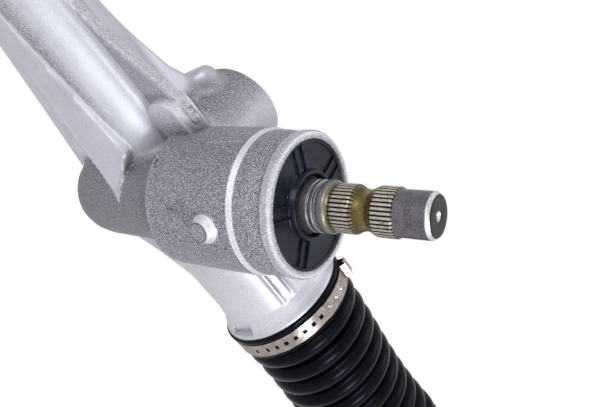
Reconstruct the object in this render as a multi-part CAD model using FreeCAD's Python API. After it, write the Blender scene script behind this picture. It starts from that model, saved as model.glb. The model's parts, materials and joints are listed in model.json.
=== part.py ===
import FreeCAD
import Part
import math
import os

from FreeCAD import Rotation, Vector

# Steering rack of a small car, at its centred position.
# All the sizes below are in millimetres. They are written about the rack axis: X along the rack towards the
# pinion-side bellows, Z up to the pinion's splined end, Y from the pinion towards the yoke. The finished
# pieces are then moved so that the origin is the middle of the bolt bore of the foot beside the pinion.

# Rack and pinion
RACK_R = 12.0
MODULE = 1.9
TEETH = 7
SHAFT_LEAN = 15.7
MESH_GAP = 13.0
PINION_TIP_R = 9.5
RACK_TIP_Y = -6.95
RACK_ROOT_Y = -3.1
RACK_LINE_Y = -5.05
BACKLASH = 0.1
RACK_SPACES = 29
STROKE = 70.0

# Housing casting
HOUSING_RIGHT = 90.0
HOUSING_LEFT = -475.0
LIP_X = 76.0
TUBE_R = 17.5
FLARE_R = 26.0
BOOT_SEAT_R = 29.2
RACK_BORE_R = 13.2
STOP_DEPTH = 12.0
STOP_BORE_R = 20.0
BEARING_BORE_R = 23.5
DRUM_WALL = 4.3
DRUM_BOSS_R = 3.75
DRUM_BOSS_TURN = 20.8
DRUM_BOSS_DEPTH = 27.5
DRUM_BOTTOM = 17.85
RIM = 74.85
TOOTH_BORE_R = 10.4
LOWER_R = 20.0
YOKE_BARREL_R = 21.1
YOKE_BARREL_END = 48.7
FOOT_X = (-128.0, -420.0)
FOOT_Y = 46.0
FOOT_R = 21.0
FOOT_HALF = 22.0
FOOT_BORE_R = 16.0
SLEEVE_R = 9.0
BOLT_BORE_R = 6.1

# Pinion shaft, heights above the rack axis along the shaft
SHAFT_R = 9.6
JOURNAL_R = 10.0
NEEDLE_JOURNAL_R = 6.0
SPLINE_R = 8.75
SPLINE_ROOT_R = 7.6
SPLINE_TEETH = 36
WAIST_R = 7.15
PILOT_R = 8.03
BEARING_LOW = 22.0
BEARING_HIGH = 36.0

# Yoke
YOKE_R = 16.0
PLUG_R = 17.0

# Inner joints and tie rods
SOCKET_R = 16.0
BALL_R = 11.0
BALL_OFFSET = 14.0
ROD_R = 7.0
ROD_THREAD_ROOT_R = 6.2
JAM_NUT = 11.0
STUD_R = 8.0
ROD_LENGTH = 275.0

# Bellows
BELLOWS_CREST_R = 30.0
BELLOWS_ROOT_R = 23.6
BELLOWS_PITCH = 10.6
BELLOWS_TURNS = 15
BOOT_WALL = 1.5
BAND_THICK = 0.6
BAND_WIDTH = 7.4

LEAN = math.radians(SHAFT_LEAN)
X = Vector(1, 0, 0)
Y = Vector(0, 1, 0)
Z = Vector(0, 0, 1)
UP_SHAFT = Vector(math.sin(LEAN), 0, math.cos(LEAN))
SHAFT_FOOT = Vector(0, -MESH_GAP, 0)
PITCH_R = MODULE * TEETH / 2 / math.cos(LEAN)
DRUM_R = BEARING_BORE_R + DRUM_WALL
STOP_RIGHT = HOUSING_RIGHT - STOP_DEPTH
STOP_LEFT = HOUSING_LEFT + STOP_DEPTH
FACE_RIGHT = STOP_RIGHT + STROKE + 1.0
FACE_LEFT = STOP_LEFT - STROKE - 1.0
ORIGIN = Vector(FOOT_X[0], FOOT_Y, 0)

os.makedirs("parts", exist_ok=True)


def aimed(shape, base, axis):
    """Turn a shape made along Z so that its Z lies on the axis, and move it to the base."""
    solid = shape.copy()
    solid.Placement = FreeCAD.Placement(base, Rotation(Z, axis)).multiply(solid.Placement)
    return solid


def disc(radius, low, high, base=Vector(), axis=Z):
    """A round bar between two heights on an axis."""
    return aimed(Part.makeCylinder(radius, high - low, Vector(0, 0, low)), base, axis)


def ring(outer, inner, low, high, base=Vector(), axis=Z):
    """A plain ring between two heights on an axis."""
    body = Part.makeCylinder(outer, high - low, Vector(0, 0, low))
    hole = Part.makeCylinder(inner, high - low + 2, Vector(0, 0, low - 1))
    return aimed(body.cut(hole), base, axis)


def turned(points, base=Vector(), axis=Z):
    """A solid turned from a closed outline of (radius, height) corners."""
    corners = [Vector(radius, 0, height) for radius, height in points]
    face = Part.Face(Part.makePolygon(corners + [corners[0]]))
    return aimed(face.revolve(Vector(), Z, 360), base, axis)


def skinned(levels):
    """A solid skinned over closed loops of corners, from the first loop to the last."""
    faces = [Part.Face(Part.makePolygon(loop + [loop[0]])) for loop in (levels[0], levels[-1])]
    for lower, upper in zip(levels, levels[1:]):
        for k in range(len(lower)):
            faces.append(Part.Face(Part.makePolygon([lower[k - 1], lower[k], upper[k], lower[k - 1]])))
            faces.append(Part.Face(Part.makePolygon([lower[k - 1], upper[k], upper[k - 1], lower[k - 1]])))
    return Part.Solid(Part.Shell(faces))


def plate(points, direction, low, high, place):
    """A flat plate: an outline of (u, v) corners put in space by place(u, v, w), from w = low to w = high."""
    corners = [place(u, v, low) for u, v in points]
    face = Part.Face(Part.makePolygon(corners + [corners[0]]))
    return face.extrude(direction * (high - low))


def xz_plate(points, low, high):
    """A plate whose outline lies in X and Z, between two values of Y."""
    return plate(points, Y, low, high, lambda u, v, w: Vector(u, w, v))


def xy_plate(points, low, high):
    """A plate whose outline lies in X and Y, between two values of Z."""
    return plate(points, Z, low, high, lambda u, v, w: Vector(u, v, w))


def save(name, shape):
    """Move a finished piece to the object's origin and write it."""
    solid = shape.copy()
    solid.translate(ORIGIN * -1)
    solid.exportStep("parts/" + name + ".step")
    box = solid.BoundBox
    print(name, "valid", solid.isValid(), "solids", len(solid.Solids), "volume", round(solid.Volume, 1),
          "box", [round(v, 1) for v in (box.XMin, box.YMin, box.ZMin, box.XMax, box.YMax, box.ZMax)])


def hexagon_bar(corner_r, low, length):
    """A hexagonal bar along Z."""
    corners = []
    for k in range(6):
        angle = math.pi * k / 3
        corners.append(Vector(corner_r * math.cos(angle), corner_r * math.sin(angle), low))
    return Part.Face(Part.makePolygon(corners + [corners[0]])).extrude(Z * length)


# Housing casting, outside.
# The rack tube widens into the flare that carries the right-hand bellows; the far end has a plain collar.
tube = turned(
    [(0, HOUSING_LEFT), (BOOT_SEAT_R, HOUSING_LEFT), (BOOT_SEAT_R, HOUSING_LEFT + 15),
     (BOOT_SEAT_R + 1.4, HOUSING_LEFT + 15), (BOOT_SEAT_R + 0.6, HOUSING_LEFT + 19),
     (TUBE_R + 2.5, HOUSING_LEFT + 31), (TUBE_R, HOUSING_LEFT + 44), (TUBE_R, -20),
     (TUBE_R + 3, 2), (FLARE_R - 0.5, 20), (FLARE_R, 33), (FLARE_R, LIP_X - 15), (FLARE_R + 0.9, LIP_X - 8.5),
     (BOOT_SEAT_R - 0.4, LIP_X - 4), (BOOT_SEAT_R + 1.3, LIP_X - 0.8), (BOOT_SEAT_R + 1.3, LIP_X),
     (BOOT_SEAT_R, LIP_X), (BOOT_SEAT_R, HOUSING_RIGHT - 1), (BOOT_SEAT_R - 1, HOUSING_RIGHT),
     (0, HOUSING_RIGHT)],
    Vector(), X)

# The pinion tower: a slim lower part with a closed, rounded foot, and the wide drum for the upper bearing.
tower = turned(
    [(0, -42.5), (9, -42.2), (14.6, -39.5), (18, -34), (LOWER_R - 0.5, -26), (LOWER_R, -15),
     (LOWER_R, 0), (LOWER_R + 0.6, DRUM_BOTTOM - 2), (LOWER_R + 2, DRUM_BOTTOM),
     (DRUM_R - 2.8, DRUM_BOTTOM), (DRUM_R - 0.9, DRUM_BOTTOM + 0.8), (DRUM_R - 0.2, DRUM_BOTTOM + 2.8),
     (DRUM_R, RIM - 17.5), (DRUM_R - 0.7, RIM - 14.6), (DRUM_R - 0.7, RIM - 10), (DRUM_R - 1.2, RIM - 7),
     (DRUM_R - 2.1, RIM - 4.7), (DRUM_R - 2.1, RIM - 4.1), (DRUM_R - 0.9, RIM - 3.5), (DRUM_R - 0.8, RIM - 1),
     (DRUM_R - 1.3, RIM), (0, RIM)],
    SHAFT_FOOT, UP_SHAFT)

# The yoke barrel stands on the rack tube opposite the pinion.
barrel = turned(
    [(0, 0), (YOKE_BARREL_R, 0), (YOKE_BARREL_R, YOKE_BARREL_END - 1.5),
     (YOKE_BARREL_R - 1.5, YOKE_BARREL_END), (0, YOKE_BARREL_END)],
    Vector(), Y)

# Gussets: a web from the tube up to the yoke barrel, a rib on top of the tube running up into the drum,
# a deep one below the tube running down to the tower's foot, and a short one under the flare.
yoke_web = xy_plate(
    [(-112, 8), (-112, 12), (-75, 15), (-59, 19.2), (-38, 24.6), (-31, 28.6), (-22, 33), (-14, 34), (0, 34),
     (0, 8)],
    -8, 8)
top_rib = xz_plate(
    [(-104, 12), (-104, 14), (-92, 17.5), (-65.5, 22.8), (-52.8, 27.2), (-39.8, 32.3), (-28, 34.8),
     (-22, 34.8), (-16, 33), (-8, 33), (-8, 12)],
    -4, 0.5)
foot_web = xz_plate(
    [(-122, 0), (-122, -12), (-82, -24.6), (-56, -31.2), (-24, -40.3), (-12, -43), (-8, -30), (0, 0)],
    -17, -4)
slope = [Vector(-140, -17, 9), Vector(20, -17, -36.5), Vector(20, -5.75, -80.3), Vector(-140, -5.75, -34.8)]
foot_web_slope = Part.Face(Part.makePolygon(slope + [slope[0]])).extrude(Vector(0, -14, 0))
foot_web = foot_web.cut(foot_web_slope)
flare_web = xz_plate(
    [(0, 0), (0, -42), (8, -42.5), (17, -40), (30.5, -32), (45, -25.5), (50, -22), (50, 0)],
    -17, 6)

# Cast details: two ejector bosses, a pad beside the yoke barrel and two fine ribs on the flare.
boss_turn = math.radians(DRUM_BOSS_TURN)
boss_out = Vector(-math.cos(LEAN), 0, math.sin(LEAN)) * math.sin(boss_turn) - Y * math.cos(boss_turn)
drum_boss = turned(
    [(0, DRUM_R - 3), (5.6, DRUM_R - 3), (5.6, DRUM_R - 0.6), (DRUM_BOSS_R, DRUM_R + 3.7), (0, DRUM_R + 3.7)],
    SHAFT_FOOT + UP_SHAFT * (RIM - DRUM_BOSS_DEPTH), boss_out)
rib_boss = disc(7.5, 0, 8.5, Vector(-28, 0, 26.5), Y * -1)
yoke_pad = disc(4.5, -8, 13, Vector(-22.5, 35.5, 0), Z)
flare_ribs = []
for y, z, start, end in ((-16.3, 21.6, 44, 69), (-11.4, 24.9, 44, 68)):
    rib = Part.makeBox(end - start, 1.4, 3.0, Vector(start, -0.7, 0))
    rib.rotate(Vector(), X, math.degrees(math.atan2(-y, z)))
    rib.translate(Vector(0, y, z) * (24.2 / math.hypot(y, z)))
    flare_ribs.append(rib)

# Two mounting feet: an upright eye beside the tube on a short arm with a web.
feet = []
for x in FOOT_X:
    feet.append(disc(FOOT_R, -FOOT_HALF, FOOT_HALF, Vector(x, FOOT_Y, 0), Z))
    feet.append(xy_plate([(x - 26, 0), (x + 26, 0), (x + 15, FOOT_Y - 8), (x - 15, FOOT_Y - 8)], -13, 13))

housing = tube.fuse([tower, barrel, yoke_web, top_rib, foot_web, flare_web, drum_boss, rib_boss, yoke_pad]
                    + flare_ribs + feet)

# Housing, inside: rack bore with end stops and the far bush seat, tower bores, yoke bore and foot eyes.
bores = [
    disc(RACK_BORE_R, HOUSING_LEFT - 1, HOUSING_RIGHT + 1, Vector(), X),
    disc(STOP_BORE_R, STOP_RIGHT, HOUSING_RIGHT + 1, Vector(), X),
    disc(STOP_BORE_R, HOUSING_LEFT - 1, STOP_LEFT, Vector(), X),
    disc(15.5, STOP_LEFT, STOP_LEFT + 30, Vector(), X),
    turned(
        [(0, -35), (7, -35), (7, -33), (NEEDLE_JOURNAL_R + 3.5, -33), (NEEDLE_JOURNAL_R + 3.5, -17.5),
         (TOOTH_BORE_R, -17.5), (TOOTH_BORE_R, 17.6), (13.2, 17.6), (13.2, BEARING_LOW - 1.5),
         (BEARING_BORE_R - 5, BEARING_LOW - 1.5), (BEARING_BORE_R - 5, BEARING_LOW),
         (BEARING_BORE_R, BEARING_LOW), (BEARING_BORE_R, RIM - 16), (BEARING_BORE_R + 0.3, RIM - 15),
         (BEARING_BORE_R + 0.3, RIM + 1), (0, RIM + 1)],
        SHAFT_FOOT, UP_SHAFT),
    turned(
        [(0, 0), (YOKE_R, 0), (YOKE_R, YOKE_BARREL_END - 12), (PLUG_R, YOKE_BARREL_END - 11.5),
         (PLUG_R, YOKE_BARREL_END + 1), (0, YOKE_BARREL_END + 1)],
        Vector(), Y),
]
for x in FOOT_X:
    bores.append(disc(FOOT_BORE_R, -FOOT_HALF - 1, FOOT_HALF + 1, Vector(x, FOOT_Y, 0), Z))
notch = Part.makeBox(8.6, 6, 14, Vector(LIP_X - 10.6, -FLARE_R - 6.6, -9))
housing = housing.cut(bores + [notch]).removeSplitter()
save("housing", housing)

# Dust cap: a black moulded plug with a skirt, a raised hub round the shaft, a lip and five pairs of
# fine ribs.
cap = turned(
    [(SHAFT_R + 0.1, RIM - 5), (SHAFT_R + 1.6, RIM - 5), (SHAFT_R + 1.6, RIM - 2.9),
     (BEARING_BORE_R - 1.5, RIM - 2.9), (BEARING_BORE_R - 1.5, RIM - 13), (BEARING_BORE_R + 0.3, RIM - 13),
     (BEARING_BORE_R + 0.3, RIM - 0.1),
     (BEARING_BORE_R - 0.8, RIM - 0.1), (BEARING_BORE_R - 1.2, RIM - 1.1), (12.9, RIM - 1.1),
     (12.3, RIM + 0.9), (11.6, RIM + 1.0), (SHAFT_R + 0.9, RIM - 1.5), (SHAFT_R + 0.1, RIM - 1.8)],
    SHAFT_FOOT, UP_SHAFT)
cap_ribs = []
for pair in range(5):
    for side in (-2.3, 2.3):
        rib = Part.makeBox(7.6, 0.7, 1.0, Vector(14.2, side - 0.35, RIM - 1.4))
        rib.rotate(Vector(), Z, 22 + 72 * pair)
        cap_ribs.append(aimed(rib, SHAFT_FOOT, UP_SHAFT))
save("dust_cap", cap.fuse(cap_ribs))

# Bearing retainer nut: a threaded steel ring with four spanner slots, and the shaft seal pressed into it.
nut = ring(BEARING_BORE_R - 0.05, 16, BEARING_HIGH, BEARING_HIGH + 10)
slots = []
for turn in range(4):
    slot = Part.makeBox(6, 5, 4, Vector(17.5, -2.5, BEARING_HIGH + 7))
    slot.rotate(Vector(), Z, 90 * turn + 45)
    slots.append(slot)
save("retainer_nut", aimed(nut.cut(slots), SHAFT_FOOT, UP_SHAFT))
seal = turned(
    [(SHAFT_R + 0.05, BEARING_HIGH + 5), (SHAFT_R + 0.5, BEARING_HIGH + 3), (16, BEARING_HIGH + 2.4),
     (16, BEARING_HIGH + 9.5), (SHAFT_R + 2, BEARING_HIGH + 9.5), (SHAFT_R + 0.05, BEARING_HIGH + 7)],
    SHAFT_FOOT, UP_SHAFT)
save("shaft_seal", seal)

# Upper ball bearing, 20 x 47 x 14: outer ring, inner ring and eight balls in their cage.
bearing_middle = (BEARING_LOW + BEARING_HIGH) / 2
ball_circle = (BEARING_BORE_R + JOURNAL_R) / 2 + 0.15
ball_r = 3.93
race_r = (ball_r + 0.07) / math.cos(math.pi / 8)
race_outline = []
for k in range(8):
    turn = math.pi * (k + 0.5) / 4
    race_outline.append((ball_circle + race_r * math.cos(turn), bearing_middle + race_r * math.sin(turn)))
race = turned(race_outline)
outer_ring = ring(BEARING_BORE_R, ball_circle + 2.7, BEARING_LOW, BEARING_HIGH).cut(race)
save("bearing_outer_ring", aimed(outer_ring, SHAFT_FOOT, UP_SHAFT))
inner_ring = ring(ball_circle - 2.7, JOURNAL_R, BEARING_LOW, BEARING_HIGH).cut(race)
save("bearing_inner_ring", aimed(inner_ring, SHAFT_FOOT, UP_SHAFT))
cage = ring(ball_circle + 1, ball_circle - 1, bearing_middle - 1.2, bearing_middle + 1.2)
half = ball_r * math.sqrt(2 / 3)
block = Part.makeBox(2 * half, 2 * half, 2 * half, Vector(-half, -half, -half))
ball = block
for axis in (X, Y, Z):
    turned_block = block.copy()
    turned_block.rotate(Vector(), axis, 45)
    ball = ball.common(turned_block)
balls = []
for k in range(8):
    one = ball.copy()
    one.translate(Vector(ball_circle, 0, bearing_middle))
    one.rotate(Vector(), Z, 45 * k)
    balls.append(one)
save("bearing_balls", aimed(cage.fuse(balls), SHAFT_FOOT, UP_SHAFT))

# Lower needle bearing: a drawn cup with turned-in lips, and fourteen rollers in a cage.
cup = turned(
    [(6.8, -31), (9.5, -31), (9.5, -19), (6.8, -19), (6.8, -19.8), (8.5, -19.8), (8.5, -30.2), (6.8, -30.2)],
    SHAFT_FOOT, UP_SHAFT)
save("needle_cup", cup)
rollers = []
for k in range(14):
    angle = 2 * math.pi * k / 14
    rollers.append(disc(1.2, -29.6, -20.4, Vector(7.24 * math.cos(angle), 7.24 * math.sin(angle), 0)))
cage = ring(7.7, 6.9, -29.9, -20.1)
save("needle_rollers", aimed(cage.fuse(rollers), SHAFT_FOOT, UP_SHAFT))

# Pinion shaft: needle journal, helical teeth, bearing journal, seal land, two splined lengths with the
# clamp bolt's waist between them, and a plain pilot end.
low = RIM
journal = turned(
    [(0, -32.5), (NEEDLE_JOURNAL_R - 0.6, -32.5), (NEEDLE_JOURNAL_R, -31.9), (NEEDLE_JOURNAL_R, -17.6),
     (5.6, -16), (0, -16)])
shaft = turned(
    [(0, 16), (5.6, 16), (JOURNAL_R - 2.5, 17.5), (11.6, 18.4), (11.6, BEARING_LOW), (JOURNAL_R, BEARING_LOW),
     (JOURNAL_R, BEARING_HIGH + 0.1), (JOURNAL_R - 0.6, BEARING_HIGH + 0.1),
     (JOURNAL_R - 0.6, BEARING_HIGH + 1.5),
     (SHAFT_R, BEARING_HIGH + 1.5), (SHAFT_R, low + 5.3), (SHAFT_R - 0.3, low + 5.6), (8.6, low + 5.7),
     (8.6, low + 6.6), (SHAFT_R - 0.3, low + 6.7), (SHAFT_R, low + 7.0), (SHAFT_R, low + 9.4),
     (SHAFT_R - 0.6, low + 10.0), (SPLINE_R, low + 11.4), (SPLINE_ROOT_R, low + 12.2),
     (SPLINE_ROOT_R, low + 20.0), (WAIST_R + 0.1, low + 21.6), (WAIST_R, low + 23.1),
     (WAIST_R + 0.1, low + 24.6), (SPLINE_ROOT_R, low + 26.2),
     (SPLINE_ROOT_R, low + 34.6), (PILOT_R, low + 34.8), (PILOT_R, low + 46.6), (PILOT_R - 1.1, low + 47.6),
     (2.0, low + 47.6), (0.9, low + 45.8), (0, low + 45.0)])
spline_outline = []
for tooth in range(SPLINE_TEETH):
    for part, radius in ((-0.36, SPLINE_ROOT_R), (-0.17, SPLINE_R), (0.17, SPLINE_R), (0.36, SPLINE_ROOT_R)):
        angle = 2 * math.pi * (tooth + part) / SPLINE_TEETH
        spline_outline.append(Vector(radius * math.cos(angle), radius * math.sin(angle), 0))
spline_face = Part.Face(Part.makePolygon(spline_outline + [spline_outline[0]]))
splines = []
for start, end in ((11.4, 19.5), (26.8, 34.7)):
    bar = spline_face.extrude(Z * (end - start))
    bar.translate(Z * (low + start))
    splines.append(bar)

# One section of the helical teeth: involute flanks on the base circle, with a flat tip.
transverse = math.atan(math.tan(math.radians(20)) / math.cos(LEAN))
base_r = PITCH_R * math.cos(transverse)
shift = 0.55 * MODULE
thick = math.pi * MODULE / math.cos(LEAN) / 2 + 2 * shift * math.tan(transverse)


def half_angle(radius):
    """Half the angle that a pinion tooth takes up at a radius."""
    pressure = math.acos(min(1.0, base_r / radius))
    growth = math.tan(transverse) - transverse - math.tan(pressure) + pressure
    return thick / PITCH_R / 2 + growth


def section(height):
    """The pinion's tooth outline at a height on the shaft, turned along the helix."""
    turn = math.pi / 2 + height * math.tan(LEAN) / PITCH_R
    corners = []
    for tooth in range(TEETH):
        middle = turn + 2 * math.pi * tooth / TEETH
        steps = (6.5, 7.5, 8.5, PINION_TIP_R)
        flank = [(radius, half_angle(radius)) for radius in steps]
        outline = [(5.6, -half_angle(6.5))] + [(radius, -angle) for radius, angle in flank]
        outline += [(radius, angle) for radius, angle in reversed(flank)] + [(5.6, half_angle(6.5))]
        for radius, offset in outline:
            angle = middle + offset
            corners.append(Vector(radius * math.cos(angle), radius * math.sin(angle), height))
    return corners


teeth = skinned([section(-16 + 4 * step) for step in range(9)])
save("pinion_shaft", aimed(shaft.fuse(splines + [teeth, journal]), SHAFT_FOOT, UP_SHAFT))
circlip = ring(12.0, JOURNAL_R - 0.6, BEARING_HIGH + 0.1, BEARING_HIGH + 1.4)
circlip = circlip.cut(Part.makeBox(14, 3, 4, Vector(0, -1.5, BEARING_HIGH - 1)))
save("pinion_circlip", aimed(circlip, SHAFT_FOOT, UP_SHAFT))

# Rack bar: a round bar with straight teeth cut across a flat on the pinion's side, tapped at both ends.
pitch = math.pi * MODULE
lean_in = math.tan(math.radians(20))


def gap_half(y):
    """Half the width of a tooth space at a depth."""
    return (pitch / 2 + BACKLASH) / 2 + lean_in * (RACK_LINE_Y - y)


first = -(RACK_SPACES - 1) / 2
outline = [(first * pitch - gap_half(RACK_TIP_Y) - 1.5, -20)]
for k in range(RACK_SPACES):
    middle = (first + k) * pitch
    outline.append((middle - gap_half(RACK_TIP_Y), RACK_TIP_Y))
    outline.append((middle - gap_half(RACK_ROOT_Y), RACK_ROOT_Y))
    outline.append((middle + gap_half(RACK_ROOT_Y), RACK_ROOT_Y))
    outline.append((middle + gap_half(RACK_TIP_Y), RACK_TIP_Y))
outline.append((-outline[0][0], -20))
outline.insert(1, (outline[0][0], RACK_TIP_Y))
outline.insert(-1, (outline[-1][0], RACK_TIP_Y))
rack = turned([(0, FACE_LEFT), (RACK_R - 1, FACE_LEFT), (RACK_R, FACE_LEFT + 1), (RACK_R, FACE_RIGHT - 1),
               (RACK_R - 1, FACE_RIGHT), (0, FACE_RIGHT)], Vector(), X)
rack = rack.cut([xy_plate(outline, -20, 20), disc(STUD_R, FACE_LEFT - 1, FACE_LEFT + 24, Vector(), X),
                 disc(STUD_R, FACE_RIGHT - 24, FACE_RIGHT + 1, Vector(), X)])
save("rack_bar", rack)

# Rack bush at the far end of the tube.
save("rack_bush", ring(15.5, RACK_R + 0.04, STOP_LEFT + 4, STOP_LEFT + 30, Vector(), X))

# Yoke: a round slipper pressed on the rack's back, with a plastic liner, an O-ring, a spring and a plug.
yoke = turned(
    [(0, 5), (YOKE_R - 0.05, 5), (YOKE_R - 0.05, 25), (YOKE_R - 1.9, 25), (YOKE_R - 1.9, 28),
     (YOKE_R - 0.05, 28), (YOKE_R - 0.05, 34), (9, 34), (9, 20), (0, 20)],
    Vector(), Y)
yoke = yoke.cut(disc(RACK_R + 1, -20, 20, Vector(), X))
save("yoke", yoke)
liner = ring(RACK_R + 1, RACK_R + 0.04, -14, 14, Vector(), X)
liner = liner.common(turned([(0, 6.5), (14.0, 6.5), (14.0, 30), (0, 30)], Vector(), Y))
save("yoke_liner", liner)
o_ring = turned(
    [(YOKE_R - 1.88, 25.7), (YOKE_R - 1.3, 25.2), (YOKE_R - 0.5, 25.2), (YOKE_R, 25.8), (YOKE_R, 27.2),
     (YOKE_R - 0.5, 27.8), (YOKE_R - 1.3, 27.8), (YOKE_R - 1.88, 27.3)],
    Vector(), Y)
save("yoke_o_ring", o_ring)
wire = ((-1.4, -1.1), (1.4, -1.1), (1.4, 1.1), (-1.4, 1.1))
coils = []
for step in range(41):
    out = Rotation(Z, 22.5 * step).multVec(X)
    coils.append([out * (6.9 + u) + Z * (5.2 * step / 16 + v) for u, v in wire])
save("yoke_spring", aimed(skinned(coils), Vector(0, 21.3, 0), Y))
plug = turned(
    [(0, YOKE_BARREL_END - 9), (10, YOKE_BARREL_END - 9), (10, YOKE_BARREL_END - 11.3),
     (PLUG_R - 0.05, YOKE_BARREL_END - 11.3), (PLUG_R - 0.05, YOKE_BARREL_END - 1.5),
     (0, YOKE_BARREL_END - 1.5)],
    Vector(), Y)
plug = plug.cut(aimed(hexagon_bar(9.8, YOKE_BARREL_END - 6, 6), Vector(), Y))
save("yoke_plug", plug)

# Foot bushes: a rubber sleeve bonded to a steel one in each eye.
for name, x in (("a", FOOT_X[0]), ("b", FOOT_X[1])):
    middle = Vector(x, FOOT_Y, 0)
    rubber = turned(
        [(SLEEVE_R, -FOOT_HALF + 2), (FOOT_BORE_R, -FOOT_HALF + 2), (FOOT_BORE_R, -FOOT_HALF),
         (FOOT_R - 2, -FOOT_HALF), (FOOT_R - 2, -FOOT_HALF - 3), (SLEEVE_R, -FOOT_HALF - 3)], middle, Z)
    rubber = rubber.fuse(ring(FOOT_BORE_R, SLEEVE_R, -FOOT_HALF, FOOT_HALF, middle, Z))
    rubber = rubber.fuse(ring(FOOT_R - 2, SLEEVE_R, FOOT_HALF, FOOT_HALF + 3, middle, Z)).removeSplitter()
    save("foot_rubber_" + name, rubber)
    save("foot_sleeve_" + name, ring(SLEEVE_R, BOLT_BORE_R, -FOOT_HALF - 4, FOOT_HALF + 4, middle, Z))

# Each end of the rack: joint socket, lock washer, ball seat, tie rod, jam nut, bellows, clamp band and clip.
LIP_LEFT = HOUSING_LEFT + HOUSING_RIGHT - LIP_X
for side, face, end, lip in (("right", FACE_RIGHT, 1, LIP_X), ("left", FACE_LEFT, -1, LIP_LEFT)):
    out = X * end
    base = Vector(face, 0, 0)
    centre = BALL_OFFSET + 2

    # Socket screwed into the rack end, holding the tie rod's ball behind a rolled lip.
    socket = turned(
        [(0, 2), (0, -20), (STUD_R - 0.05, -20), (STUD_R - 0.05, 2), (SOCKET_R - 1, 2), (SOCKET_R, 3),
         (SOCKET_R, centre + 7),
         (SOCKET_R - 3.2, centre + 12), (10.6, centre + 12), (8.95, centre + 7.6), (12.6, centre + 3.2),
         (12.6, 5), (0, 5)],
        base, out)
    save("socket_" + side, socket)
    washer = ring(SOCKET_R - 1.5, STUD_R, 0.0, 2.0, base, out)
    save("lock_washer_" + side, washer)
    seat = turned(
        [(6.4, 5), (12.6, 5), (12.6, centre + 3.2), (8.95, centre + 7.6), (9.0, centre + 7.2),
         (11.4, centre + 2.0), (11.4, centre - 2.0), (9.0, centre - 7.2)], base, out)
    save("ball_seat_" + side, seat)

    # Tie rod: ball, slim neck, shank with a hexagon to hold it by, and the outer thread.
    tip = centre + ROD_LENGTH
    nut_end = tip - 41
    nut_start = nut_end - JAM_NUT
    rod = turned(
        [(0, centre), (5.6, centre + 9), (5.6, centre + 22), (ROD_R, centre + 32), (ROD_R, nut_start),
         (ROD_THREAD_ROOT_R, nut_start), (ROD_THREAD_ROOT_R, nut_end), (ROD_R, nut_end),
         (ROD_R, tip - 1.2), (ROD_R - 1.2, tip), (0, tip)], base, out)
    ball = aimed(Part.makeSphere(BALL_R, Vector(0, 0, centre)), base, out)
    grip = hexagon_bar(8.1, tip - 90, 14)
    save("tie_rod_" + side, rod.fuse([ball, aimed(grip, base, out)]))
    jam = hexagon_bar(12.7, nut_start, JAM_NUT).cut(disc(ROD_THREAD_ROOT_R, nut_start - 1, nut_end + 1))
    jam = jam.common(turned(
        [(0, nut_start), (11.2, nut_start), (12.8, nut_start + 1), (12.8, nut_end - 1), (11.2, nut_end),
         (0, nut_end)]))
    save("jam_nut_" + side, aimed(jam, base, out))

    # Bellows: a stretched collar over the housing, folds of even pitch and a taper down to the rod.
    base = Vector(lip, 0, 0)
    collar_r = BOOT_SEAT_R + BOOT_WALL
    outside = [(collar_r + 0.9, 0), (collar_r + 0.9, 2.4), (collar_r, 3.0), (collar_r, 3.2 + BAND_WIDTH),
               (collar_r + 0.4, 4.0 + BAND_WIDTH), (collar_r + 0.4, 5.0 + BAND_WIDTH)]
    inside = [(BOOT_SEAT_R + 0.02, 0), (BOOT_SEAT_R + 0.02, 14.2), (BELLOWS_ROOT_R - 1.5, 18.5)]
    start = 6.0 + BAND_WIDTH
    for fold in range(BELLOWS_TURNS):
        squeeze = max(0, fold - BELLOWS_TURNS + 5) * 2.6
        valley = start + fold * BELLOWS_PITCH + 1.5
        crest = valley + BELLOWS_PITCH / 2
        outside += [(BELLOWS_ROOT_R - squeeze, valley), (BELLOWS_CREST_R - squeeze, crest)]
    tail = start + BELLOWS_TURNS * BELLOWS_PITCH + 1.5
    outside += [(ROD_R + 3.4, tail), (ROD_R + 3.4, tail + 3), (ROD_R + 2, tail + 3.5),
                (ROD_R + 2, tail + 9.5), (ROD_R + 3.4, tail + 10), (ROD_R + 3.4, tail + 12)]
    taper = start + (BELLOWS_TURNS - 4.5) * BELLOWS_PITCH
    inside += [(BELLOWS_ROOT_R - 1.5, taper), (ROD_R + 3.0, tail - 3.0), (ROD_R + 0.02, tail + 1),
               (ROD_R + 0.02, tail + 12)]
    bellows = turned(outside + inside[::-1])
    bellows.rotate(Vector(), Z, 40)
    save("bellows_" + side, aimed(bellows, base, out))

    # Clamp band: a thin stainless strip with a folded ear, over the bellows' collar.
    band = ring(collar_r + BAND_THICK, collar_r, 3.1, 3.1 + BAND_WIDTH)
    ear = Part.makeBox(3.2, 5.0, BAND_WIDTH - 0.6, Vector(collar_r + 0.4, -2.5, 3.4))
    ear.rotate(Vector(), Z, 144)
    band = band.fuse(ear)
    save("clamp_band_" + side, aimed(band, base, out))
    clip = ring(ROD_R + 3.3, ROD_R + 2, tail + 3.6, tail + 9.4)
    for turn in (-18, 18):
        tab = Part.makeBox(6.5, 1.2, 3.5, Vector(ROD_R + 2.6, -0.6, tail + 4.7))
        tab.rotate(Vector(), Z, 90 + turn)
        clip = clip.fuse(tab)
    save("boot_clip_" + side, aimed(clip, base, out))
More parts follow.
